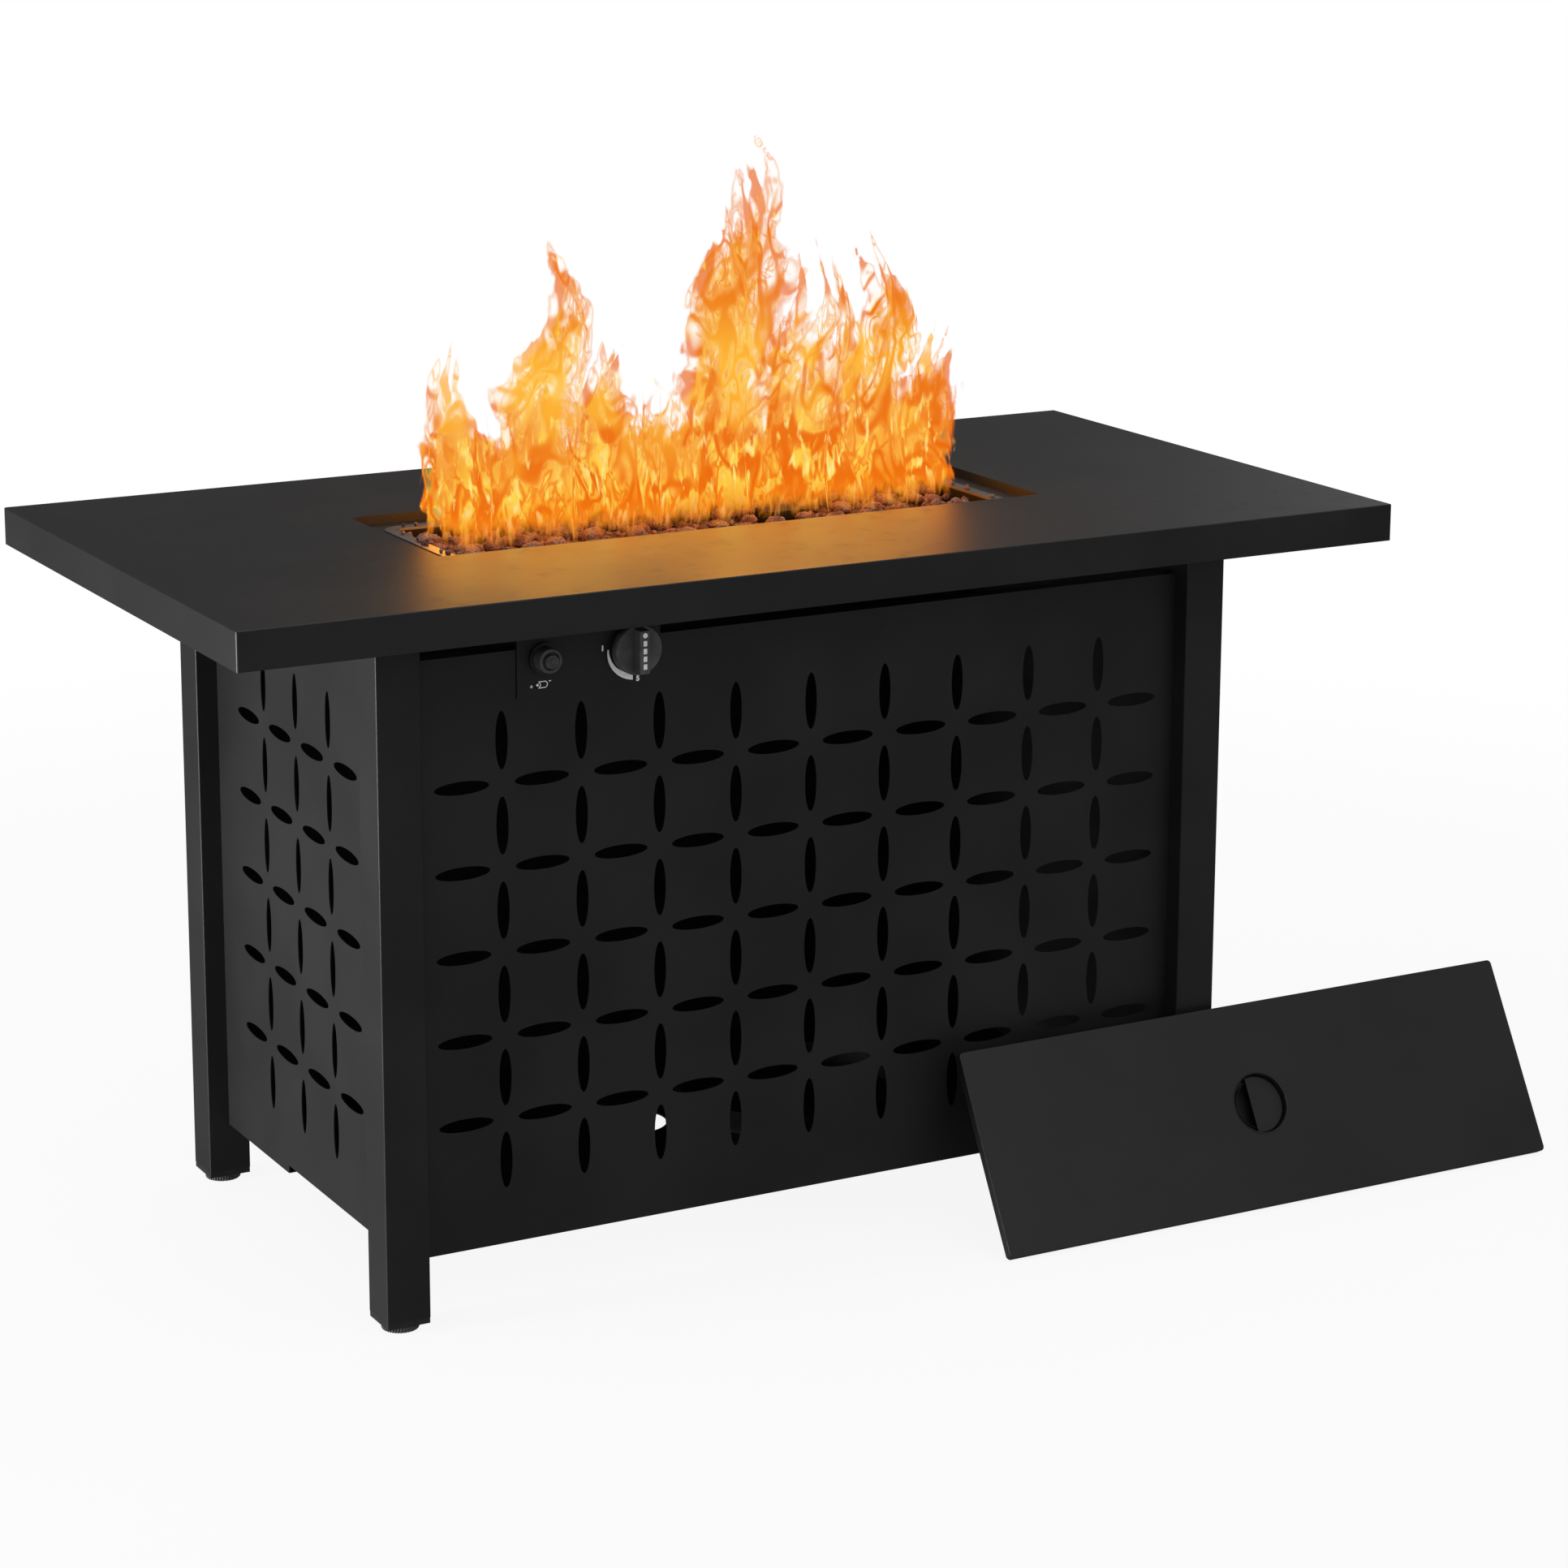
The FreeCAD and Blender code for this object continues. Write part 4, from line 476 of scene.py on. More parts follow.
@dataclass(frozen=True)
class FlameGlow:
    """Burning gas: orange filaments round paler, half clear cells, yellow and dense low down.

    The sheets carry two attributes: body, which is 1 in the heart of a tongue and 0 at its edge, and
    rise, the height over the bed in metres. The glow is one strength to the camera, another in
    reflections, and a third for the light that it casts on the table.
    """

    seen: float = 1.0
    mirrored: float = 4.6
    cast: float = 2.2

    def make(self) -> bpy.types.Material:
        """Build the material.

        Returns:
            The material.
        """
        r = Recipe("flame_glow")
        body, height = (r.node("ShaderNodeAttribute", {"attribute_name": name}, out="Fac")
                        for name in ("body", "rise"))
        swirl = r.grain(0.042, detail=1.2, stretch=(1, 1, 1.7), curl=1.3)
        curl = r.grain(0.017, detail=2, stretch=(1, 1, 2.0), curl=1.1)
        lick = r.grain(0.007, detail=2, stretch=(1, 1, 3.5), curl=0.8)
        thread = 1 - r.math("ABSOLUTE", swirl - 0.5) * 8
        strand = 1 - r.math("ABSOLUTE", curl - 0.5) * 8
        low = 1 - height.between(0.01, 0.15)
        mass = body + (swirl - 0.5) * 1.5 + (curl - 0.5) * 0.7 + (lick - 0.5) * 0.2
        edge = mass.between(0.0, 0.14)
        rim = 1 - mass.between(0.0, 0.38)
        line = r.math("MAXIMUM", thread.between(0.1, 0.9), strand.between(0.2, 1.0) * 0.75)
        line = r.math("MAXIMUM", line, rim * 0.8)
        dense = (low * 0.7 + body.between(0.25, 0.9) * 0.55).between(0.0, 1.0)
        rooted = (height + (lick - 0.5) * 0.03 + (curl - 0.5) * 0.03).between(0.01, 0.034)
        yellow = r.grain(0.055, detail=1.5, stretch=(1, 1, 1.6), curl=0.6).between(0.45, 0.56)
        yellow = yellow * height.between(0.03, 0.06) * (1 - height.between(0.14, 0.22))
        alpha = edge * rooted * (0.1 + line * 0.66 + dense * 0.6).between(0.0, 1.0)
        tall = r.mix(line, (1.0, 0.55, 0.12), (0.86, 0.2, 0.012))
        tall = r.mix(yellow, tall, r.mix(line, (1.0, 0.76, 0.22), (1.0, 0.48, 0.04)))
        short = r.mix(line, (1.0, 0.36, 0.01), (0.85, 0.14, 0.003))
        hot = (curl * 1.3 + lick * 1.1 + low * 0.25 - line * 0.3).between(1.15, 1.5)
        colour = r.mix(hot, r.mix(low, tall, short), (1.0, 0.66, 0.07))
        white = (lick * 1.4 + curl * 0.8).between(1.22, 1.48) * low
        colour = r.mix(white, colour, (1.0, 0.88, 0.36))
        foot = 1 - height.between(0.014, 0.05)
        colour = r.mix(foot * 0.85, colour, (0.95, 0.24, 0.01))
        camera, glossy = (r.node("ShaderNodeLightPath", out=f"Is {kind} Ray")
                          for kind in ("Camera", "Glossy"))
        power = self.cast + camera * (self.seen - self.cast) + glossy * (self.mirrored - self.cast)
        glow = r.node("ShaderNodeEmission", {}, {"Color": colour, "Strength": power})
        clear = r.node("ShaderNodeBsdfTransparent")
        made = r.close(r.node("ShaderNodeMixShader", {}, {0: alpha, 1: clear, 2: glow}))
        made.cycles.emission_sampling = "NONE"
        return made


@dataclass(frozen=True)
class PaleFloor:
    """White studio floor that keeps the table's shadow and melts into the backdrop further out.

    The share of plain white that the camera sees grows from plain, near the table, to all of it.
    Reflections see it with a strength of dim.
    """

    colour: Colour = (0.9, 0.9, 0.9)
    plain: float = 0.9
    dim: float = 0.15
    near: float = 0.9
    far: float = 2.4

    def make(self) -> bpy.types.Material:
        """Build the material.

        Returns:
            The material.
        """
        r = Recipe("pale_floor")
        reach = r.node("ShaderNodeVectorMath", {"operation": "LENGTH"}, {0: r.place()}, out="Value")
        lit = r.node("ShaderNodeBsdfDiffuse", {}, {"Color": (*self.colour, 1.0)})
        white, dim = (r.node("ShaderNodeEmission", {}, {"Color": (1, 1, 1, 1), "Strength": strength})
                      for strength in (1.0, self.dim))
        camera, glossy = (r.node("ShaderNodeLightPath", out=f"Is {kind} Ray")
                          for kind in ("Camera", "Glossy"))
        plain = self.plain + reach.between(self.near, self.far) * (1 - self.plain)
        seen = r.node("ShaderNodeMixShader", {}, {0: camera * plain, 1: lit, 2: white})
        return r.close(r.node("ShaderNodeMixShader", {}, {0: glossy, 1: seen, 2: dim}))


class Shape:
    """A bmesh in the making, in metres, with the shapes that the pieces start from."""

    def __init__(self) -> None:
        """Start empty."""
        self.bm = bmesh.new()

    def turned(self, profile: Sequence[tuple[float, float]], steps: int = 96) -> "Shape":
        """Spin a profile of (radius, height) points in millimetres about Z.

        Args:
            profile: Points from one pole or open end to the other, or back to the first.
            steps: Number of steps in the full turn.

        Returns:
            Itself.
        """
        bm = bmesh.new()
        points = [bm.verts.new((radius * MM, 0, height * MM)) for radius, height in profile]
        edges = [bm.edges.new(pair) for pair in zip(points, points[1:])]
        bmesh.ops.spin(bm, geom=points + edges, cent=(0, 0, 0), axis=(0, 0, 1), angle=math.tau,
                       steps=steps, use_merge=True)
        bmesh.ops.remove_doubles(bm, verts=bm.verts, dist=1e-7)
        bmesh.ops.recalc_face_normals(bm, faces=bm.faces)
        return self.join(bm)

    def disc(self, radius: float, thick: float, spot: Sequence[float] = (0, 0, 0), hole: float = 0.0,
             steps: int = 48) -> "Shape":
        """Flat disc or ring facing Z, with its sizes in millimetres.

        Args:
            radius: Outer radius.
            thick: Thickness, upwards from the spot.
            spot: Middle of its underside.
            hole: Inner radius of a ring, or 0 for a disc.
            steps: Number of corners.

        Returns:
            Itself.
        """
        bm = bmesh.new()
        bmesh.ops.create_circle(bm, cap_ends=True, radius=radius * MM, segments=steps)
        if hole:
            inner = bmesh.ops.inset_region(bm, faces=bm.faces[:], thickness=(radius - hole) * MM,
                                           use_boundary=True, use_even_offset=True)
            ring = set(inner["faces"])
            bmesh.ops.delete(bm, geom=[f for f in bm.faces if f not in ring], context="FACES")
        self.thicken(bm, thick)
        bmesh.ops.translate(bm, verts=bm.verts, vec=Vector(spot) * MM)
        return self.join(bm)

    def block(self, size: Sequence[float], spot: Sequence[float]) -> "Shape":
        """Box about a spot, with its sizes in millimetres.

        Args:
            size: Its size along each axis.
            spot: Its middle.

        Returns:
            Itself.
        """
        bm = bmesh.new()
        bmesh.ops.create_cube(bm, size=1)
        bmesh.ops.scale(bm, verts=bm.verts, vec=Vector(size) * MM)
        bmesh.ops.translate(bm, verts=bm.verts, vec=Vector(spot) * MM)
        return self.join(bm)

    @staticmethod
    def thicken(bm: bmesh.types.BMesh, thick: float) -> None:
        """Give flat faces a thickness along Z.

        Args:
            bm: The bmesh that they are in.
            thick: The thickness in millimetres.
        """
        raised = bmesh.ops.extrude_face_region(bm, geom=bm.faces[:])["geom"]
        verts = [g for g in raised if isinstance(g, bmesh.types.BMVert)]
        bmesh.ops.translate(bm, verts=verts, vec=(0, 0, thick * MM))
        bmesh.ops.recalc_face_normals(bm, faces=bm.faces)

    def join(self, other: bmesh.types.BMesh) -> "Shape":
        """Take in another bmesh and free it.

        Args:
            other: The other bmesh.

        Returns:
            Itself.
        """
        mesh = bpy.data.meshes.new("part")
        other.to_mesh(mesh)
        other.free()
        self.bm.from_mesh(mesh)
        bpy.data.meshes.remove(mesh)
        return self

    def move(self, matrix: Matrix) -> "Shape":
        """Transform everything so far."""
        bmesh.ops.transform(self.bm, matrix=matrix, verts=self.bm.verts)
        return self

    def piece(self, name: str, material: bpy.types.Material, body: Body, slot: Slot,
              replaces: Iterable[str] = (), smooth: float = 35.0) -> bpy.types.Object:
        """Finish the mesh as an object of the scene.

        Args:
            name: The piece's name.
            material: Its material.
            body: The body it rides on.
            slot: The record's slot that its finish comes from; not used.
            replaces: The CAD nodes it stands for.
            smooth: Edges flatter than this angle in degrees are shaded smooth.

        Returns:
            The object.
        """
        limit = math.radians(smooth)
        for edge in self.bm.edges:
            edge.smooth = edge.calc_face_angle(0) < limit
        for face in self.bm.faces:
            face.smooth = True
        made = mesh_object(name, self.bm, material)
        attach(made, body.value)
        if replaces:
            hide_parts(*replaces)
        log.info("%s: %d faces on %s", name, len(made.data.polygons), body.value)
        return made


def add_object(name: str, data: bpy.types.ID) -> bpy.types.Object:
    """Add an object to the scene.

    Args:
        name: Its name.
        data: Its mesh, curve, light or camera.

    Returns:
        The object.
    """
    made = bpy.data.objects.new(name, data)
    bpy.context.scene.collection.objects.link(made)
    return made


def mesh_object(name: str, bm: bmesh.types.BMesh, material: bpy.types.Material) -> bpy.types.Object:
    """Add a mesh object made from a bmesh, and free the bmesh.

    Args:
        name: Name of the object and of its mesh.
        bm: The bmesh.
        material: Its only material.

    Returns:
        The object.
    """
    mesh = bpy.data.meshes.new(name)
    bm.to_mesh(mesh)
    bm.free()
    mesh.materials.append(material)
    return add_object(name, mesh)


def facing_front(x: float, y: float, z: float) -> Matrix:
    """Matrix that turns a shape drawn facing Z to face the control side, at a spot in millimetres."""
    return Matrix.Translation(Vector((x, y, z)) * MM) @ Matrix.Rotation(math.radians(90), 4, "X")


@dataclass
class Finishes:
    """All the materials, by the value of the slot or of the extra finish that each is for."""

    made: dict[str, bpy.types.Material] = field(default_factory=dict)

    def prepare(self) -> None:
        """Build one material for each slot and each extra finish."""
        zinc = Plated("zinc_plate", (0.5, 0.5, 0.48), (0.62, 0.61, 0.56), rough=0.26)
        alloy = Plated("cast_alloy", (0.52, 0.52, 0.53), (0.62, 0.62, 0.63), rough=0.42, depth=0.00003)
        brass = Plated("turned_brass", (0.55, 0.38, 0.14), (0.66, 0.48, 0.2), rough=0.24)
        gloss = MouldedPlastic("glossy_plastic", (0.05, 0.05, 0.051), rough=0.36, grain=0.0012)
        recipes = {
            Slot.COAT: PowderCoat(), Slot.PLASTIC: MouldedPlastic(), Slot.GLOSS: gloss, Slot.ZINC: zinc,
            Slot.STAINLESS: BrushedSteel(), Slot.ALLOY: alloy, Slot.BRASS: brass, Slot.BATTERY: CellCan(),
            Slot.CERAMIC: Ceramic(), Slot.LAVA: LavaStone(), Extra.PRINT: WhitePrint(),
            Extra.FOOT: MouldedPlastic(Extra.FOOT.value, (0.07, 0.07, 0.071)),
            # Near-black finish of the lid pull: painted shade for the inside of its recess.
            Extra.PULL: MouldedPlastic(Extra.PULL.value, (0.006, 0.006, 0.006), rough=0.34, grain=0.0012),
        }
        self.made = {key.value: recipe.make() for key, recipe in recipes.items()}

    def dress(self) -> None:
        """Give every CAD node the material of its slot."""
        for entry in frame["record"]["subparts"]:
            mesh = frame["nodes"][entry["node"]].data
            mesh.materials.clear()
            mesh.materials.append(self.made[entry["material_slot"]])

    def of(self, key: Slot | Extra) -> bpy.types.Material:
        """The material of a slot, or an extra one."""
        return self.made[key.value]


@dataclass
class Feet:
    """Round levelling feet with a ribbed rim, on studs that are ringed as a thread."""

    finishes: Finishes
    radius: float = 15.5
    height: float = 6.1
    edge: float = 0.8
    narrow: float = 0.95
    ribs: int = 40
    rib_depth: float = 1.0
    stud: float = 4.0
    thread_depth: float = 0.55
    pitch: float = 1.25
    top: float = 30.4
    leg_x: float = 379.0
    leg_y: float = 198.0
    corners: tuple[tuple[str, Body, int, int], ...] = (
        ("front_left", Body.FOOT_FL, -1, -1), ("front_right", Body.FOOT_FR, 1, -1),
        ("rear_left", Body.FOOT_RL, -1, 1), ("rear_right", Body.FOOT_RR, 1, 1))

    def build(self) -> None:
        """Make the four feet."""
        for name, body, side, end in self.corners:
            shape = Shape().join(self._disc()).turned(self._stud(), steps=32)
            shape.move(Matrix.Translation(Vector((side * self.leg_x, end * self.leg_y, 0)) * MM))
            shape.piece(f"knurled_foot_{name}", self.finishes.of(Extra.FOOT), body, Slot.PLASTIC,
                        replaces=(f"foot_{name}",), smooth=30)

    def _disc(self) -> bmesh.types.BMesh:
        """The ribbed disc at the origin, a little narrower at its bottom and top.

        Returns:
            The disc.
        """
        bm = bmesh.new()
        bmesh.ops.create_circle(bm, cap_ends=True, radius=self.radius * MM, segments=4 * self.ribs)
        groove = 1 - self.rib_depth / self.radius
        for turn, vert in enumerate(bm.verts):
            if turn % 4 < 2:
                vert.co *= groove
        faces = bm.faces[:]
        start = 0.0
        for level in (self.edge, self.height - self.edge, self.height):
            grown = bmesh.ops.extrude_face_region(bm, geom=faces)["geom"]
            verts = [g for g in grown if isinstance(g, bmesh.types.BMVert)]
            bmesh.ops.translate(bm, verts=verts, vec=(0, 0, (level - start) * MM))
            if start:
                bmesh.ops.delete(bm, geom=faces, context="FACES_ONLY")
            faces = [g for g in grown if isinstance(g, bmesh.types.BMFace)]
            start = level
        for vert in bm.verts:
            if vert.co.z < 1e-6 or vert.co.z > (self.height - 0.01) * MM:
                vert.co.x *= self.narrow
                vert.co.y *= self.narrow
        bmesh.ops.recalc_face_normals(bm, faces=bm.faces)
        return bm

    def _stud(self) -> Profile:
        """Profile of the stud, with a crest for each turn of its thread.

        Returns:
            The profile.
        """
        crest, root = self.stud, self.stud - self.thread_depth
        profile = [(0.0, self.height), (root, self.height)]
        for turn in range(int((self.top - self.height - 2) / self.pitch)):
            low = self.height + 1 + turn * self.pitch
            profile += [(root, low), (crest, low + self.pitch * 0.4), (crest, low + self.pitch * 0.6)]
        return profile + [(root, self.top - 0.8), (root - 0.6, self.top), (0.0, self.top)]


@dataclass
class ControlKnob:
    """Push-and-turn knob: a dished disc with a grip bar across it, which bears a dot and four bars."""

    finishes: Finishes
    x: float = -166.0
    z: float = 543.5
    plate: float = -199.5
    back: float = 3.8
    face: float = 12.5
    radius: float = 21.0
    bore: float = 4.2
    grip_front: float = 23.0
    grip_width: float = 10.0
    grip_length: float = 37.0
    grip_edge: float = 0.9
    taper: tuple[float, float, float] = (0.9, 0.97, 1)
    dot: float = 2.1
    dot_up: float = 14.0
    bars: int = 4
    bar: tuple[float, float] = (3.2, 4.4)
    first_bar: float = 7.4
    bar_pitch: float = 6.4
    sunk: float = 0.08

    def build(self) -> None:
        """Make the knob and its white marks."""
        rim, back, face = self.radius, self.back, self.face
        profile = [(self.bore, back + 4), (self.bore, back), (rim - 2.4, back), (rim - 0.9, back + 0.35),
                   (rim - 0.15, back + 1.3), (rim, back + 2.4), (rim, face - 1.6), (rim - 0.35, face - 0.6),
                   (rim - 1.1, face), (rim - 2.2, face - 0.1), (rim - 5.0, face - 0.75),
                   (rim - 9.0, face - 1.1), (0.0, face - 1.2)]
        shape = Shape().turned(profile, steps=128).join(self._grip())
        shape.move(facing_front(self.x, self.plate, self.z))
        shape.piece("turn_knob", self.finishes.of(Slot.GLOSS), Body.KNOB, Slot.GLOSS,
                    replaces=("control_knob",))
        marks = Shape().disc(self.dot, INK, (0, self.dot_up, 0))
        for turn in range(self.bars):
            marks.block((*self.bar, INK), (0, self.first_bar - self.bar_pitch * turn, INK / 2))
        marks.move(facing_front(self.x, self.plate - self.grip_front + self.sunk, self.z))
        marks.piece("knob_marks", self.finishes.of(Extra.PRINT), Body.KNOB, Slot.CERAMIC)

    def _grip(self) -> bmesh.types.BMesh:
        """The grip bar, drawn in a little towards its front face.

        Returns:
            The bar.
        """
        bm = bmesh.new()
        bmesh.ops.create_cube(bm, size=1)
        tall = self.grip_front - self.back - 2
        near_front = (self.grip_front - 0.1) * MM
        bmesh.ops.scale(bm, verts=bm.verts, vec=Vector((self.grip_width, self.grip_length, tall)) * MM)
        bmesh.ops.translate(bm, verts=bm.verts, vec=(0, 0, (self.grip_front - tall / 2) * MM))
        front = [v for v in bm.verts if v.co.z > near_front]
        bmesh.ops.scale(bm, verts=front, vec=self.taper)
        rims = [e for e in bm.edges if any(v.co.z > near_front for v in e.verts)]
        bmesh.ops.bevel(bm, geom=rims, offset=self.grip_edge * MM, affect="EDGES", segments=4, profile=0.5,
                        material=-1)
        return bm


@dataclass
class ValveSpring:
    """Coil spring behind the knob, which its collar presses together as the knob goes in."""

    finishes: Finishes
    wire: float = 0.5
    turns: int = 4
    steps: int = 96
    stroke: float = 3.0

    def build(self) -> None:
        """Wind the spring where the CAD spring is."""
        low, high = (Vector(corner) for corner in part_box("valve_spring"))
        middle, wire, room = (low + high) / 2, self.wire * MM, high.y - low.y
        upright = Matrix.Rotation(math.radians(90), 4, "X")
        bm = bmesh.new()
        bmesh.ops.create_circle(bm, radius=wire, segments=12)
        bmesh.ops.rotate(bm, verts=bm.verts, cent=(0, 0, 0), matrix=upright.to_3x3())
        bmesh.ops.translate(bm, verts=bm.verts, vec=((high.x - low.x) / 2 - wire, 0, wire - room / 2))
        bmesh.ops.spin(bm, geom=bm.verts[:] + bm.edges[:], cent=(0, 0, 0), axis=(0, 0, 1),
                       dvec=(0, 0, (room - 2 * wire) / self.steps), angle=math.tau * self.turns,
                       steps=self.steps)
        bmesh.ops.holes_fill(bm, edges=[edge for edge in bm.edges if edge.is_boundary], sides=0)
        bmesh.ops.recalc_face_normals(bm, faces=bm.faces)
        shape = Shape().join(bm).move(Matrix.Translation(middle) @ upright)
        made = shape.piece("wound_spring", self.finishes.of(Slot.STAINLESS), Body.TABLE, Slot.STAINLESS,
                           replaces=("valve_spring",))
        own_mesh(made)


@dataclass
class Igniter:
    """Screw cap and push button of the igniter, turned, with rings on the button's tip."""

    finishes: Finishes
    x: float = -246.0
    z: float = 543.5
    plate: float = -199.5
    foot: float = 3.5
    cap_height: float = 12.0
    cap_radius: float = 10.3
    neck: float = 7.9
    neck_bore: float = 6.7
    neck_depth: float = 9.4
    button: float = 7.0
    flange: float = 8.2
    pin: float = 3.0
    pin_depth: float = 4.7
    tip: float = 5.7
    proud: float = 3.0
    rings: tuple[float, ...] = (4.2, 2.9, 1.6)

    def build(self) -> None:
        """Make the cap and the button."""
        place = facing_front(self.x, self.plate, self.z)
        front = self.foot + self.cap_height
        gloss = self.finishes.of(Slot.GLOSS)
        cap = Shape().turned(self._cap(front)).move(place)
        cap.piece("igniter_screw_cap", gloss, Body.CAP, Slot.GLOSS, replaces=("igniter_cap",))
        button = Shape().turned(self._button(front)).move(place)
        button.piece("igniter_push_button", gloss, Body.BUTTON, Slot.GLOSS, replaces=("igniter_button",))

    def _cap(self, front: float) -> Profile:
        """Profile of the cap, round the hole for the button.

        Args:
            front: Height of its front face.

        Returns:
            The profile, a closed ring.
        """
        foot, rim, hole = self.foot, self.cap_radius, self.button + 0.3
        neck, bore, deep = self.neck, self.neck_bore, self.foot - self.neck_depth
        room, ledge = self.flange + 0.3, front - 5.4
        return [(bore, deep), (neck, deep), (neck, foot), (rim - 0.5, foot), (rim, foot + 0.5),
                (rim, front - 1.5), (rim - 0.45, front - 0.45), (rim - 1.5, front), (hole + 0.3, front),
                (hole, front - 0.3), (hole, ledge), (room, ledge), (room, foot + 1.1), (bore, foot + 1.1),
                (bore, deep)]

    def _button(self, front: float) -> Profile:
        """Profile of the button, from its pin to its ringed tip.

        Args:
            front: Height of the cap's front face.

        Returns:
            The profile.
        """
        end = front + self.proud
        low = front - 5.8
        profile = [(0, -self.pin_depth), (self.pin, -self.pin_depth), (self.pin, low - 1.6),
                   (self.flange, low - 1.6), (self.flange, low), (self.button, low),
                   (self.button, front - 2.6), (self.button - 0.2, front - 2.4), (self.tip, front - 2.4),
                   (self.tip, end - 0.7), (self.tip - 0.2, end - 0.2), (self.tip - 0.7, end)]
        for ring in self.rings:
            profile += [(ring + 0.35, end), (ring + 0.1, end - 0.35)]
            profile += [(ring - 0.1, end - 0.35), (ring - 0.35, end)]
        return profile + [(0, end)]


@dataclass
class PlateMarks:
    """White marks on the control plate: a swelling arc with plain numbers, and a battery sign.

    A number is (text, its place right of the knob's axis and above it), in millimetres.
    """

    finishes: Finishes
    plate: float = -199.5
    sunk: float = 0.04
    knob_x: float = -166.0
    knob_z: float = 543.5
    arc_inside: float = 21.4
    arc_outside: float = 22.5
    arc_dip: float = 0.5
    arc_swell: float = 4.4
    numbers: tuple[tuple[str, float, float], ...] = (("1", -27.0, 1.6), ("5", 4.6, -26.4))
    number_size: float = 6.0
    number_weight: float = 0.3
    cell_x: float = -251.0
    cell_z: float = 521.5
    cell_length: float = 6.2
    cell_outside: float = 2.9
    cell_inside: float = 2.25
    cell_dot: float = 1.1
    stroke: float = 0.8

    def build(self) -> None:
        """Make all the marks as one piece."""
        shape = Shape().join(self._arc())
        self._battery(shape)
        for text, right, up in self.numbers:
            shape.join(self._number(text, self.knob_x + right, self.knob_z + up))
        shape.move(facing_front(0, self.plate + self.sunk, 0))
        shape.piece("plate_marks", self.finishes.of(Extra.PRINT), Body.TABLE, Slot.CERAMIC)

    def _arc(self) -> bmesh.types.BMesh:
        """Arc from nine to six o'clock round the knob, which swells as it goes.

        Returns:
            The arc.
        """
        bm = bmesh.new()
        bmesh.ops.create_grid(bm, x_segments=40, y_segments=1, size=0.5)
        for vert in bm.verts:
            along = vert.co.x + 0.5
            inner = self.arc_inside - self.arc_dip * along
            outer = self.arc_outside + self.arc_swell * along ** 0.9
            radius = outer if vert.co.y > 0 else inner
            angle = math.pi * (1 + along * 0.5)
            right, up = radius * math.cos(angle), radius * math.sin(angle)
            vert.co = Vector((self.knob_x + right, self.knob_z + up, 0)) * MM
        Shape.thicken(bm, INK)
        return bm

    def _battery(self, shape: Shape) -> None:
        """Add the battery sign: a long outline, a round one with a dot, a minus and a plus.

        Args:
            shape: The shape that it joins.
        """
        left, middle, end = self.cell_x, self.cell_z, self.cell_x + self.cell_length
        outline = Shape().disc(self.cell_outside, INK, hole=self.cell_inside, steps=32)
        for vert in outline.bm.verts:
            if vert.co.x > 1e-6:
                vert.co.x += self.cell_length * MM
        outline.move(Matrix.Translation(Vector((left, middle, 0)) * MM))
        shape.join(outline.bm)
        shape.disc(self.cell_outside, INK, (left, middle, 0), hole=self.cell_inside, steps=32)
        shape.disc(self.cell_dot, INK, (left, middle, 0), steps=24)
        shape.block((2.0, self.stroke, INK), (end + 4.8, middle + 2.4, INK / 2))
        shape.block((2.4, self.stroke, INK), (left - 5.4, middle - 0.8, INK / 2))
        shape.block((self.stroke, 2.4, INK), (left - 5.4, middle - 0.8, INK / 2))

    def _number(self, text: str, x: float, z: float) -> bmesh.types.BMesh:
        """A printed number.

        Args:
            text: The number.
            x: Place of its middle across the plate, in millimetres.
            z: Height of its middle, in millimetres.

        Returns:
            The number.
        """
        curve = bpy.data.curves.new("number", "FONT")
        curve.body = text
        curve.size = self.number_size * MM
        curve.align_x, curve.align_y = "CENTER", "CENTER"
        curve.extrude = INK / 2 * MM
        curve.offset = self.number_weight * MM
        holder = add_object("number", curve)
        mesh = bpy.data.meshes.new_from_object(holder.evaluated_get(bpy.context.evaluated_depsgraph_get()))
        bm = bmesh.new()
        bm.from_mesh(mesh)
        bmesh.ops.remove_doubles(bm, verts=bm.verts, dist=1e-6)
        bmesh.ops.translate(bm, verts=bm.verts, vec=Vector((x, z, INK / 2)) * MM)
        bpy.data.objects.remove(holder)
        bpy.data.curves.remove(curve)
        bpy.data.meshes.remove(mesh)
        return bm


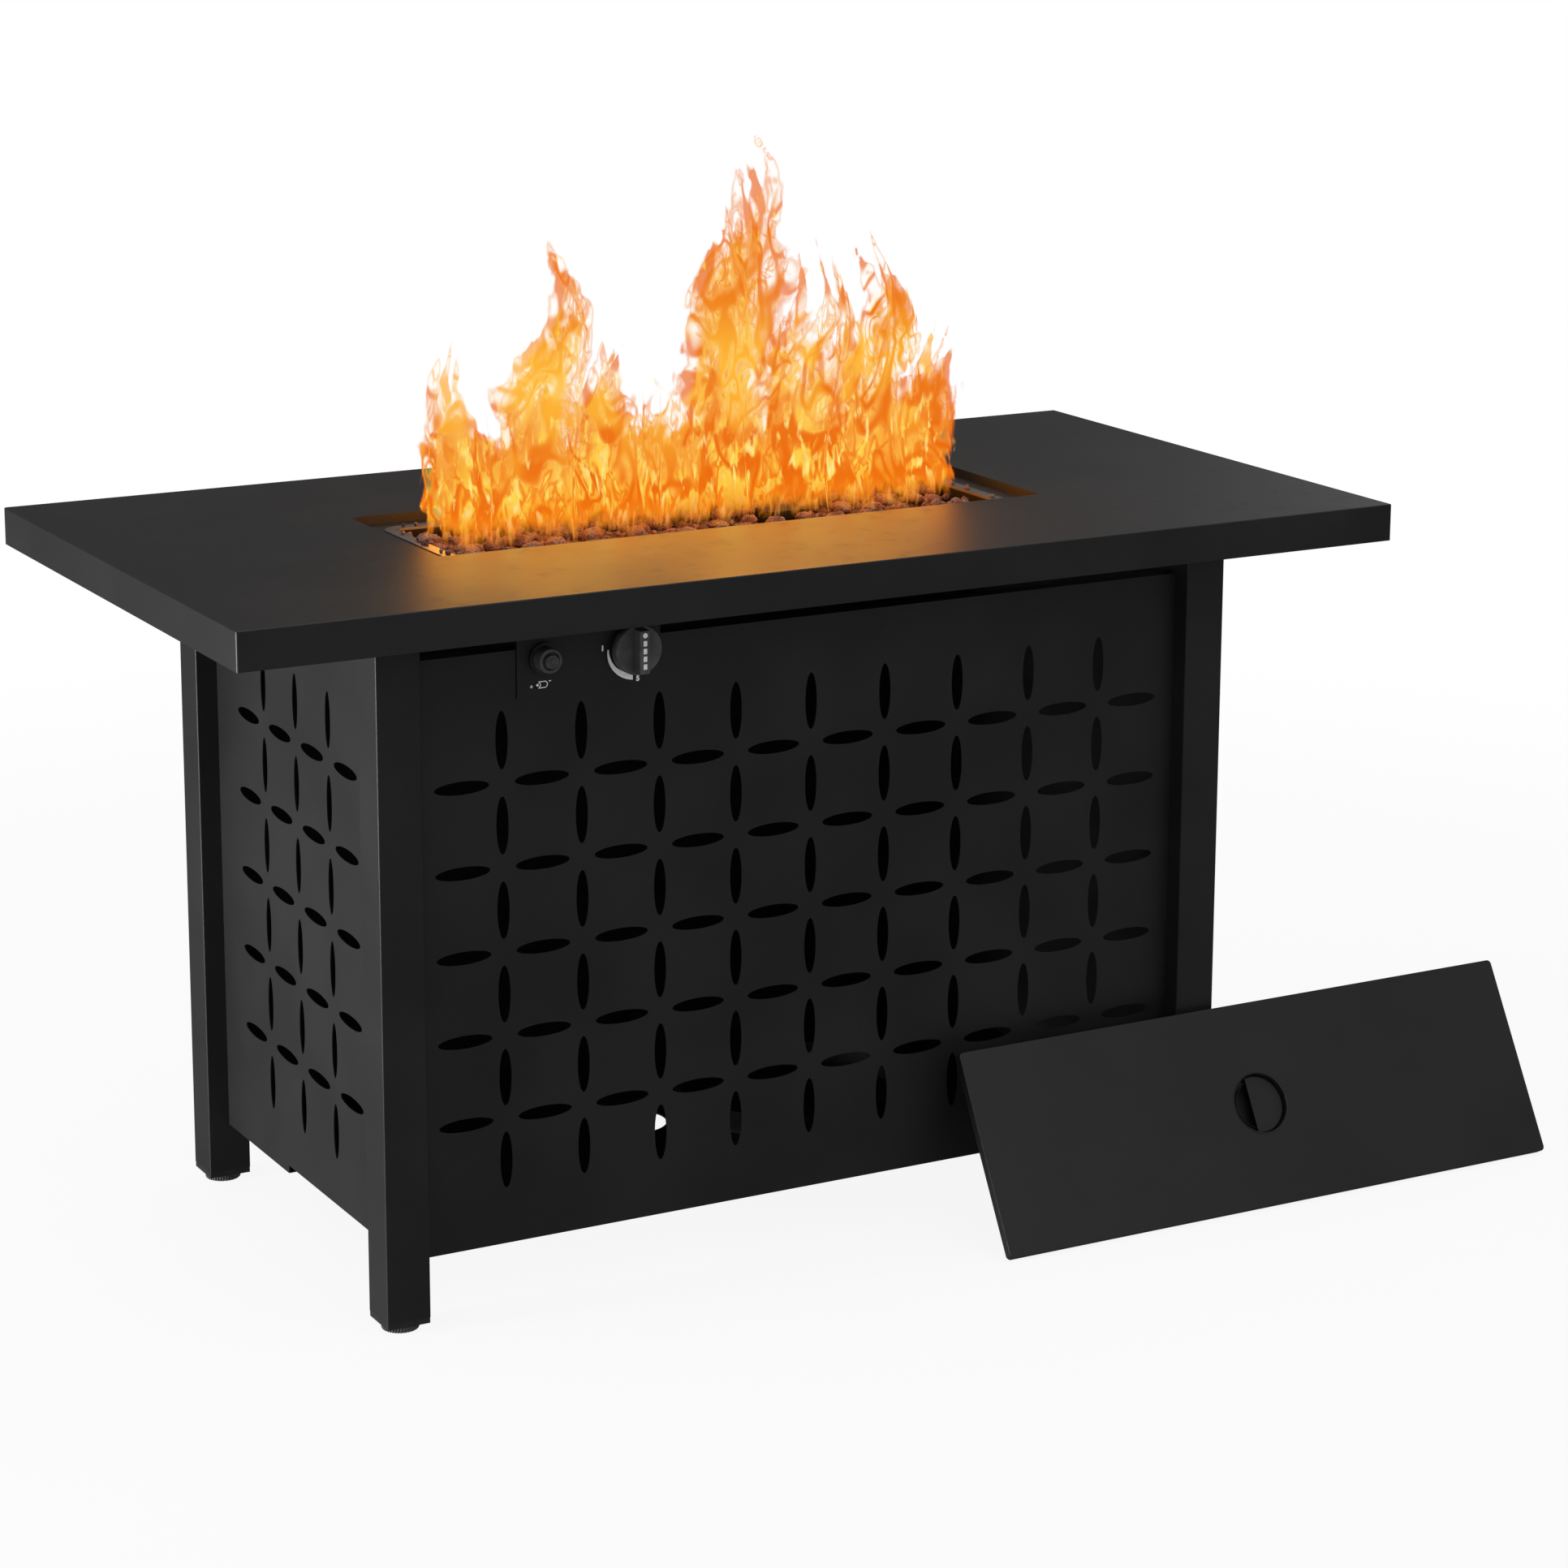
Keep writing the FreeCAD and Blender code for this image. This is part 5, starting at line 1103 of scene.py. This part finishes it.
@dataclass
class LavaFill:
    """Rough lumps from the CAD rocks, and chips that fill the bed and its edges, with a few on the rim.

    A handful is (how many, smallest and largest radius, lowest and highest level over the bed), in
    millimetres. A layer of the lumps' skin is (waves for a metre, depth in metres).
    """

    finishes: Finishes
    bed_top: float = 582.0
    half_x: float = 258.5
    half_y: float = 62.5
    bed: tuple[float, ...] = (560, 2.6, 6.0, 0.0, 3.5)
    heap: tuple[float, ...] = (420, 4.0, 7.0, 3.0, 14.5)
    margin: tuple[float, float] = (38.0, 20.0)
    strays: tuple[float, ...] = (44, 2.0, 3.4, 21.6, 22.4)
    rim_inner: float = 1.5
    rim_width: float = 7.0
    cuts: int = 4
    rounds: int = 3
    wide: tuple[float, float] = (130, 0.0016)
    fine: tuple[float, float] = (420, 0.0009)
    seed: int = 7

    def build(self) -> None:
        """Make the lumps and the chips."""
        bm = bmesh.new()
        bm.from_mesh(frame["nodes"]["lava_rocks"].data)
        bmesh.ops.remove_doubles(bm, verts=bm.verts, dist=1e-6)
        bmesh.ops.subdivide_edges(bm, edges=bm.edges[:], cuts=self.cuts, use_grid_fill=True)
        for _ in range(self.rounds):
            bmesh.ops.smooth_vert(bm, verts=bm.verts[:], factor=0.5, use_axis_x=True, use_axis_y=True,
                                  use_axis_z=True)
        bmesh.ops.recalc_face_normals(bm, faces=bm.faces)
        bm.normal_update()
        dents = [vert.normal * self._dent(vert.co) for vert in bm.verts]
        for vert, dent in zip(bm.verts, dents):
            vert.co -= dent
        Shape().join(bm).piece("lava_lumps", self.finishes.of(Slot.LAVA), Body.TABLE, Slot.LAVA,
                               replaces=("lava_rocks",), smooth=180)
        dice = random.Random(self.seed)
        chips = Shape()
        self._scatter(chips, dice, self.bed, self._in_bed)
        self._scatter(chips, dice, self.heap, self._at_edge)
        self._scatter(chips, dice, self.strays, self._on_rim)
        chips.piece("lava_chips", self.finishes.of(Slot.LAVA), Body.TABLE, Slot.LAVA, smooth=60)

    def _dent(self, spot: Vector) -> float:
        """Depth of the pitted skin at a place, inwards, in metres."""
        layers = (self.wide, self.fine)
        return sum(depth * (noise.noise(spot * waves) * 0.5 + 0.5) for waves, depth in layers)

    def _in_bed(self, dice: random.Random, radius: float) -> tuple[float, float]:
        """A place (x, y) in millimetres anywhere in the bed, for a chip of this radius."""
        reach_x, reach_y = self.half_x - radius, self.half_y - radius
        return dice.uniform(-reach_x, reach_x), dice.uniform(-reach_y, reach_y)

    def _at_edge(self, dice: random.Random, radius: float) -> tuple[float, float]:
        """A place near the pan's walls.

        Args:
            dice: The source of chance.
            radius: Radius of the chip.

        Returns:
            The place (x, y) in millimetres.
        """
        x, y = self._in_bed(dice, radius)
        while abs(x) < self.half_x - self.margin[0] and abs(y) < self.half_y - self.margin[1]:
            x, y = self._in_bed(dice, radius)
        return x, y

    def _on_rim(self, dice: random.Random, _radius: float) -> tuple[float, float]:
        """A place on the pan's rim, on a short side or a long one.

        Args:
            dice: The source of chance.
            _radius: Radius of the chip, which makes no difference here.

        Returns:
            The place (x, y) in millimetres.
        """
        out = dice.uniform(self.rim_inner, self.rim_width)
        side = dice.choice((-1, 1))
        if dice.random() < self.half_y / self.half_x * 1.6:
            return side * (self.half_x + out), dice.uniform(-self.half_y, self.half_y)
        return dice.uniform(-self.half_x, self.half_x), side * (self.half_y + out)

    def _scatter(self, shape: Shape, dice: random.Random, handful: Sequence[float],
                 choose: Callable[[random.Random, float], tuple[float, float]]) -> None:
        """Throw a handful of chips, clear of the pilot hood.

        Args:
            shape: The shape they join.
            dice: The source of chance.
            handful: Number, smallest and largest radius, lowest and highest level.
            choose: Gives the place of a chip of a given radius.
        """
        number, small, large, sunk, raised = handful
        low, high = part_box("pilot_hood")
        for _ in range(int(number)):
            radius = dice.uniform(small, large)
            x, y = choose(dice, radius)
            level = self.bed_top + dice.uniform(sunk, raised)
            reach = radius * MM
            if low.x - reach < x * MM < high.x + reach and low.y - reach < y * MM < high.y + reach:
                continue
            bm = bmesh.new()
            bmesh.ops.create_icosphere(bm, subdivisions=1, radius=reach)
            for vert in bm.verts:
                vert.co *= dice.uniform(0.7, 1.0)
            turn = Matrix.Rotation(dice.uniform(0, math.tau), 4, Vector((dice.random(), dice.random(), 0.3)))
            place = Matrix.Translation(Vector((x, y, level)) * MM)
            bmesh.ops.transform(bm, matrix=place @ turn, verts=bm.verts)
            shape.join(bm)


@dataclass
class LidPull:
    """Round flush pull in the lid, turned with a soft rim: a flange, a cup and a deeper well, coloured
    near-black as painted shade in the recess.
    """

    finishes: Finishes
    lean: float = 60.0
    x: float = 416.5
    back: float = 314.228
    lift: float = 4.0
    middle: float = 90.0
    flange: float = 27.8
    cup: float = 26.9
    inside: float = 26.1
    well: float = 21.6
    well_inside: float = 20.8
    cup_bottom: float = -9.8
    well_bottom: float = -14.0
    gauge: float = 0.8

    def build(self) -> None:
        """Make the cup."""
        rim, cup, inside, well, hole = self.flange, self.cup, self.inside, self.well, self.well_inside
        ledge, floor = self.cup_bottom + self.gauge, self.well_bottom + self.gauge
        under = [(0, self.well_bottom), (well, self.well_bottom), (well, self.cup_bottom),
                 (cup, self.cup_bottom)]
        edge = [(cup, 0.0), (rim, 0.0), (rim - 0.05, 0.3), (rim - 0.3, 0.5), (cup + 0.1, 0.5),
                (inside + 0.5, 0.35), (inside + 0.2, 0.0), (inside, -0.5)]
        step = [(inside, ledge + 0.6), (inside - 0.2, ledge + 0.2), (inside - 0.6, ledge), (well, ledge),
                (well, -6.3), (well - 0.15, -6.1), (well - 0.4, -6.0), (hole + 0.15, -6.1), (hole, -6.4)]
        base = [(hole, floor + 0.8), (hole - 0.3, floor + 0.2), (hole - 0.9, floor), (0, floor)]
        shape = Shape().turned(under + edge + step + base, steps=144)
        place = Matrix.Translation(Vector((self.x, -self.back, self.lift)) * MM)
        turn = Matrix.Rotation(math.radians(self.lean), 4, "X")
        shape.move(place @ turn @ Matrix.Translation((0, self.middle * MM, 0)))
        # The bowl is near-black plastic, which paints the shade inside the recess.
        shape.piece("lid_pull_bowl", self.finishes.of(Extra.PULL), Body.LID, Slot.PLASTIC,
                    replaces=("lid_pull_cup",))


@dataclass
class Fire:
    """Flames over the burner: wavy sheets of burning gas. They aren't part of the table.

    A tongue is (x at its foot, half width, height, lean to the right at its tip), in metres.
    """

    half_length: float = 0.25
    half_width: float = 0.036
    middle: float = 0.01
    base: float = 0.586
    top: float = 0.34
    lengthways: tuple[float, ...] = (-0.012, 0.012, 0.036)
    crossways: tuple[float, ...] = (-0.2, -0.12, -0.04, 0.045, 0.125, 0.205)
    overhang: float = 1.06
    slant: float = 0.01
    tongues: tuple[tuple[float, float, float, float], ...] = (
        (-0.225, 0.035, 0.15, -0.01), (-0.155, 0.046, 0.225, 0.015), (-0.085, 0.04, 0.15, 0.0),
        (0.022, 0.058, 0.28, 0.03), (0.095, 0.036, 0.2, 0.005), (0.178, 0.045, 0.22, -0.01),
        (0.228, 0.034, 0.14, 0.01))
    carpet: float = 0.1
    sway: float = 0.016
    outermost: float = -0.75
    long_columns: int = 150
    cross_columns: int = 30
    rows: int = 90
    seed: int = 3

    def build(self) -> None:
        """Make the sheets as one stage object."""
        noise.seed_set(self.seed)
        bm = bmesh.new()
        body, rise = (bm.verts.layers.float.new(name) for name in ("body", "rise"))
        reach = self.half_length * self.overhang
        for y in self.lengthways:
            self._sheet(bm, (0, y), (reach, 0), self.long_columns)
        for x in self.crossways:
            self._sheet(bm, (x, self.middle), (self.slant, self.half_width), self.cross_columns)
        for vert in bm.verts:
            vert[rise] = vert.co.z
            vert[body] = self._body(vert.co)
            drift = noise.noise_vector(Vector((vert.co.x * 11, vert.co.y * 11 + 5, vert.co.z * 9 - 3)))
            pull = self.sway * (0.25 + 5 * vert.co.z)
            vert.co += Vector((drift.x * pull, drift.y * pull, self.base))
        empty = [face for face in bm.faces if all(vert[body] < self.outermost for vert in face.verts)]
        bmesh.ops.delete(bm, geom=empty, context="FACES")
        flames = mesh_object("flames", bm, FlameGlow().make())
        flames.visible_shadow = False
        log.info("flames: %d faces, stage only", len(flames.data.polygons))

    def _body(self, spot: Vector) -> float:
        """How deep a place lies in the fire: 1 in the heart of a tongue, 0 at its edge, less outside.

        Args:
            spot: The place, with its height above the bed as z, in metres.

        Returns:
            The depth.
        """
        warp = noise.noise_vector(Vector((spot.x * 9, spot.y * 9, spot.z * 9)))
        x = spot.x + warp.x * 0.22 * spot.z
        z = spot.z + warp.z * 0.1 * spot.z
        deepest = 1.1 - z / self.carpet
        for foot, half, tall, lean in self.tongues:
            share = z / tall
            middle = foot + lean * share ** 1.5
            wide = half * (1.05 - 0.75 * share)
            if share < 1.3:
                depth = 1.0 - abs(x - middle) / max(wide, 0.004) - max(0.0, share - 0.75) * 2.5
                deepest = max(deepest, depth)
        ends = 1 - (abs(x + warp.y * 0.02) / self.half_length) ** 8
        ends -= (abs(spot.y - self.middle) / (self.half_width * 1.1)) ** 6 * 0.6
        return max(-1.0, min(deepest, ends * 1.2))

    def _sheet(self, bm: bmesh.types.BMesh, middle: tuple[float, float], half: tuple[float, float],
               columns: int) -> None:
        """Add an upright sheet that stands on a straight line.

        Args:
            bm: The bmesh to add to.
            middle: Middle (x, y) of the line, in metres.
            half: Half of the line, from its middle to its end.
            columns: Number of columns in the sheet.
        """
        for vert in bmesh.ops.create_grid(bm, x_segments=columns, y_segments=self.rows, size=1)["verts"]:
            share, up = vert.co.x, (vert.co.y + 1) / 2
            vert.co = Vector((middle[0] + half[0] * share, middle[1] + half[1] * share, up * self.top))


@dataclass(frozen=True)
class Softbox:
    """A square lamp: its place and size in metres, and its power in watts."""

    name: str
    spot: tuple[float, float, float]
    size: float
    power: float

    def build(self, aim: Vector) -> None:
        """Hang the lamp, unseen by the camera.

        Args:
            aim: The place that it looks at.
        """
        data = bpy.data.lights.new(self.name, "AREA")
        data.shape = "SQUARE"
        data.size = self.size
        data.energy = self.power
        lamp = add_object(self.name, data)
        lamp.location = self.spot
        lamp.visible_camera = False
        lamp.rotation_euler = (aim - Vector(self.spot)).to_track_quat("-Z", "Y").to_euler()


@dataclass
class Studio:
    """Floor, world, lamps and the camera that frames the table as it is seen.

    The world lights with a strength of lit, and shows in reflections from low_gloss, level, to
    high_gloss, further up.
    """

    lamps: tuple[Softbox, ...] = (
        Softbox("key_left", (-2.9, 0.1, 0.32), 0.54, 95.0),
        Softbox("fill_front", (0.6, -3.2, 2.2), 2.4, 16.0),
        Softbox("back_right", (3.4, 2.6, 1.7), 1.6, 4.5),
        Softbox("overhead", (0.5, -0.2, 2.7), 0.9, 6.0))
    aim: tuple[float, float, float] = (0, 0, 0.35)
    floor_radius: float = 14.0
    floor_drop: float = 0.0004
    lit: float = 0.5
    low_gloss: float = 0.045
    high_gloss: float = 0.4
    sensor: float = 36.0
    lens_px: float = 5062.0
    frame_px: float = 1932.0
    yaw: float = 0.4953
    pitch: float = 0.2224
    roll: float = 0.002
    spot: tuple[float, float, float] = (-1.61146, -3.08737, 1.29007)
    shift: tuple[float, float] = (0.0168, -0.1)
    clip: tuple[float, float] = (0.05, 60)

    def build(self) -> None:
        """Set the stage."""
        self._floor()
        self._world()
        for lamp in self.lamps:
            lamp.build(Vector(self.aim))
        self._camera()
        bpy.context.scene.view_settings.view_transform = "Standard"

    def _floor(self) -> None:
        """A wide round floor just under the feet."""
        bm = bmesh.new()
        bmesh.ops.create_circle(bm, cap_ends=True, radius=self.floor_radius, segments=96)
        bmesh.ops.translate(bm, verts=bm.verts, vec=(0, 0, -self.floor_drop))
        mesh_object("studio_floor", bm, PaleFloor().make())

    def _world(self) -> None:
        """White to the camera, dim in low reflections, plain light for the rest."""
        r = Recipe("studio", world=True)
        up = r.axis("Z", r.node("ShaderNodeTexCoord", out="Generated"))
        camera, glossy, through = (r.node("ShaderNodeLightPath", out=f"Is {kind} Ray")
                                   for kind in ("Camera", "Glossy", "Transmission"))
        gloss = self.low_gloss + up.between(0.2, 0.65) * (self.high_gloss - self.low_gloss)
        power = self.lit + glossy * (gloss - self.lit)
        power = power + r.math("MAXIMUM", camera, through) * (1 - power)
        white = {"Color": (1, 1, 1, 1), "Strength": power}
        bpy.context.scene.world = r.close(r.node("ShaderNodeBackground", {}, white))

    def _camera(self) -> None:
        """The camera fitted to the photograph, with a small shift."""
        data = bpy.data.cameras.new("camera")
        data.sensor_width = self.sensor
        data.lens = self.lens_px / self.frame_px * self.sensor
        data.shift_x, data.shift_y = self.shift
        data.clip_start, data.clip_end = self.clip
        camera = add_object("camera", data)
        ahead = Vector((math.sin(self.yaw) * math.cos(self.pitch), math.cos(self.yaw) * math.cos(self.pitch),
                        -math.sin(self.pitch)))
        right = Vector((math.cos(self.yaw), -math.sin(self.yaw), 0))
        up = right.cross(ahead)
        side = right * math.cos(self.roll) + up * math.sin(self.roll)
        top = up * math.cos(self.roll) - right * math.sin(self.roll)
        turn = Matrix((side, top, -ahead)).transposed().to_4x4()
        camera.matrix_world = Matrix.Translation(self.spot) @ turn
        bpy.context.scene.camera = camera


def main() -> None:
    """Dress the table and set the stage."""
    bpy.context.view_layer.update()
    finishes = Finishes()
    finishes.prepare()
    finishes.dress()
    for part in (Feet(finishes), ControlKnob(finishes), ValveSpring(finishes), Igniter(finishes),
                 PlateMarks(finishes), LavaFill(finishes), LidPull(finishes), Fire(), Studio()):
        part.build()


if __name__ == "__main__":
    logging.basicConfig(level=logging.INFO)
    main()
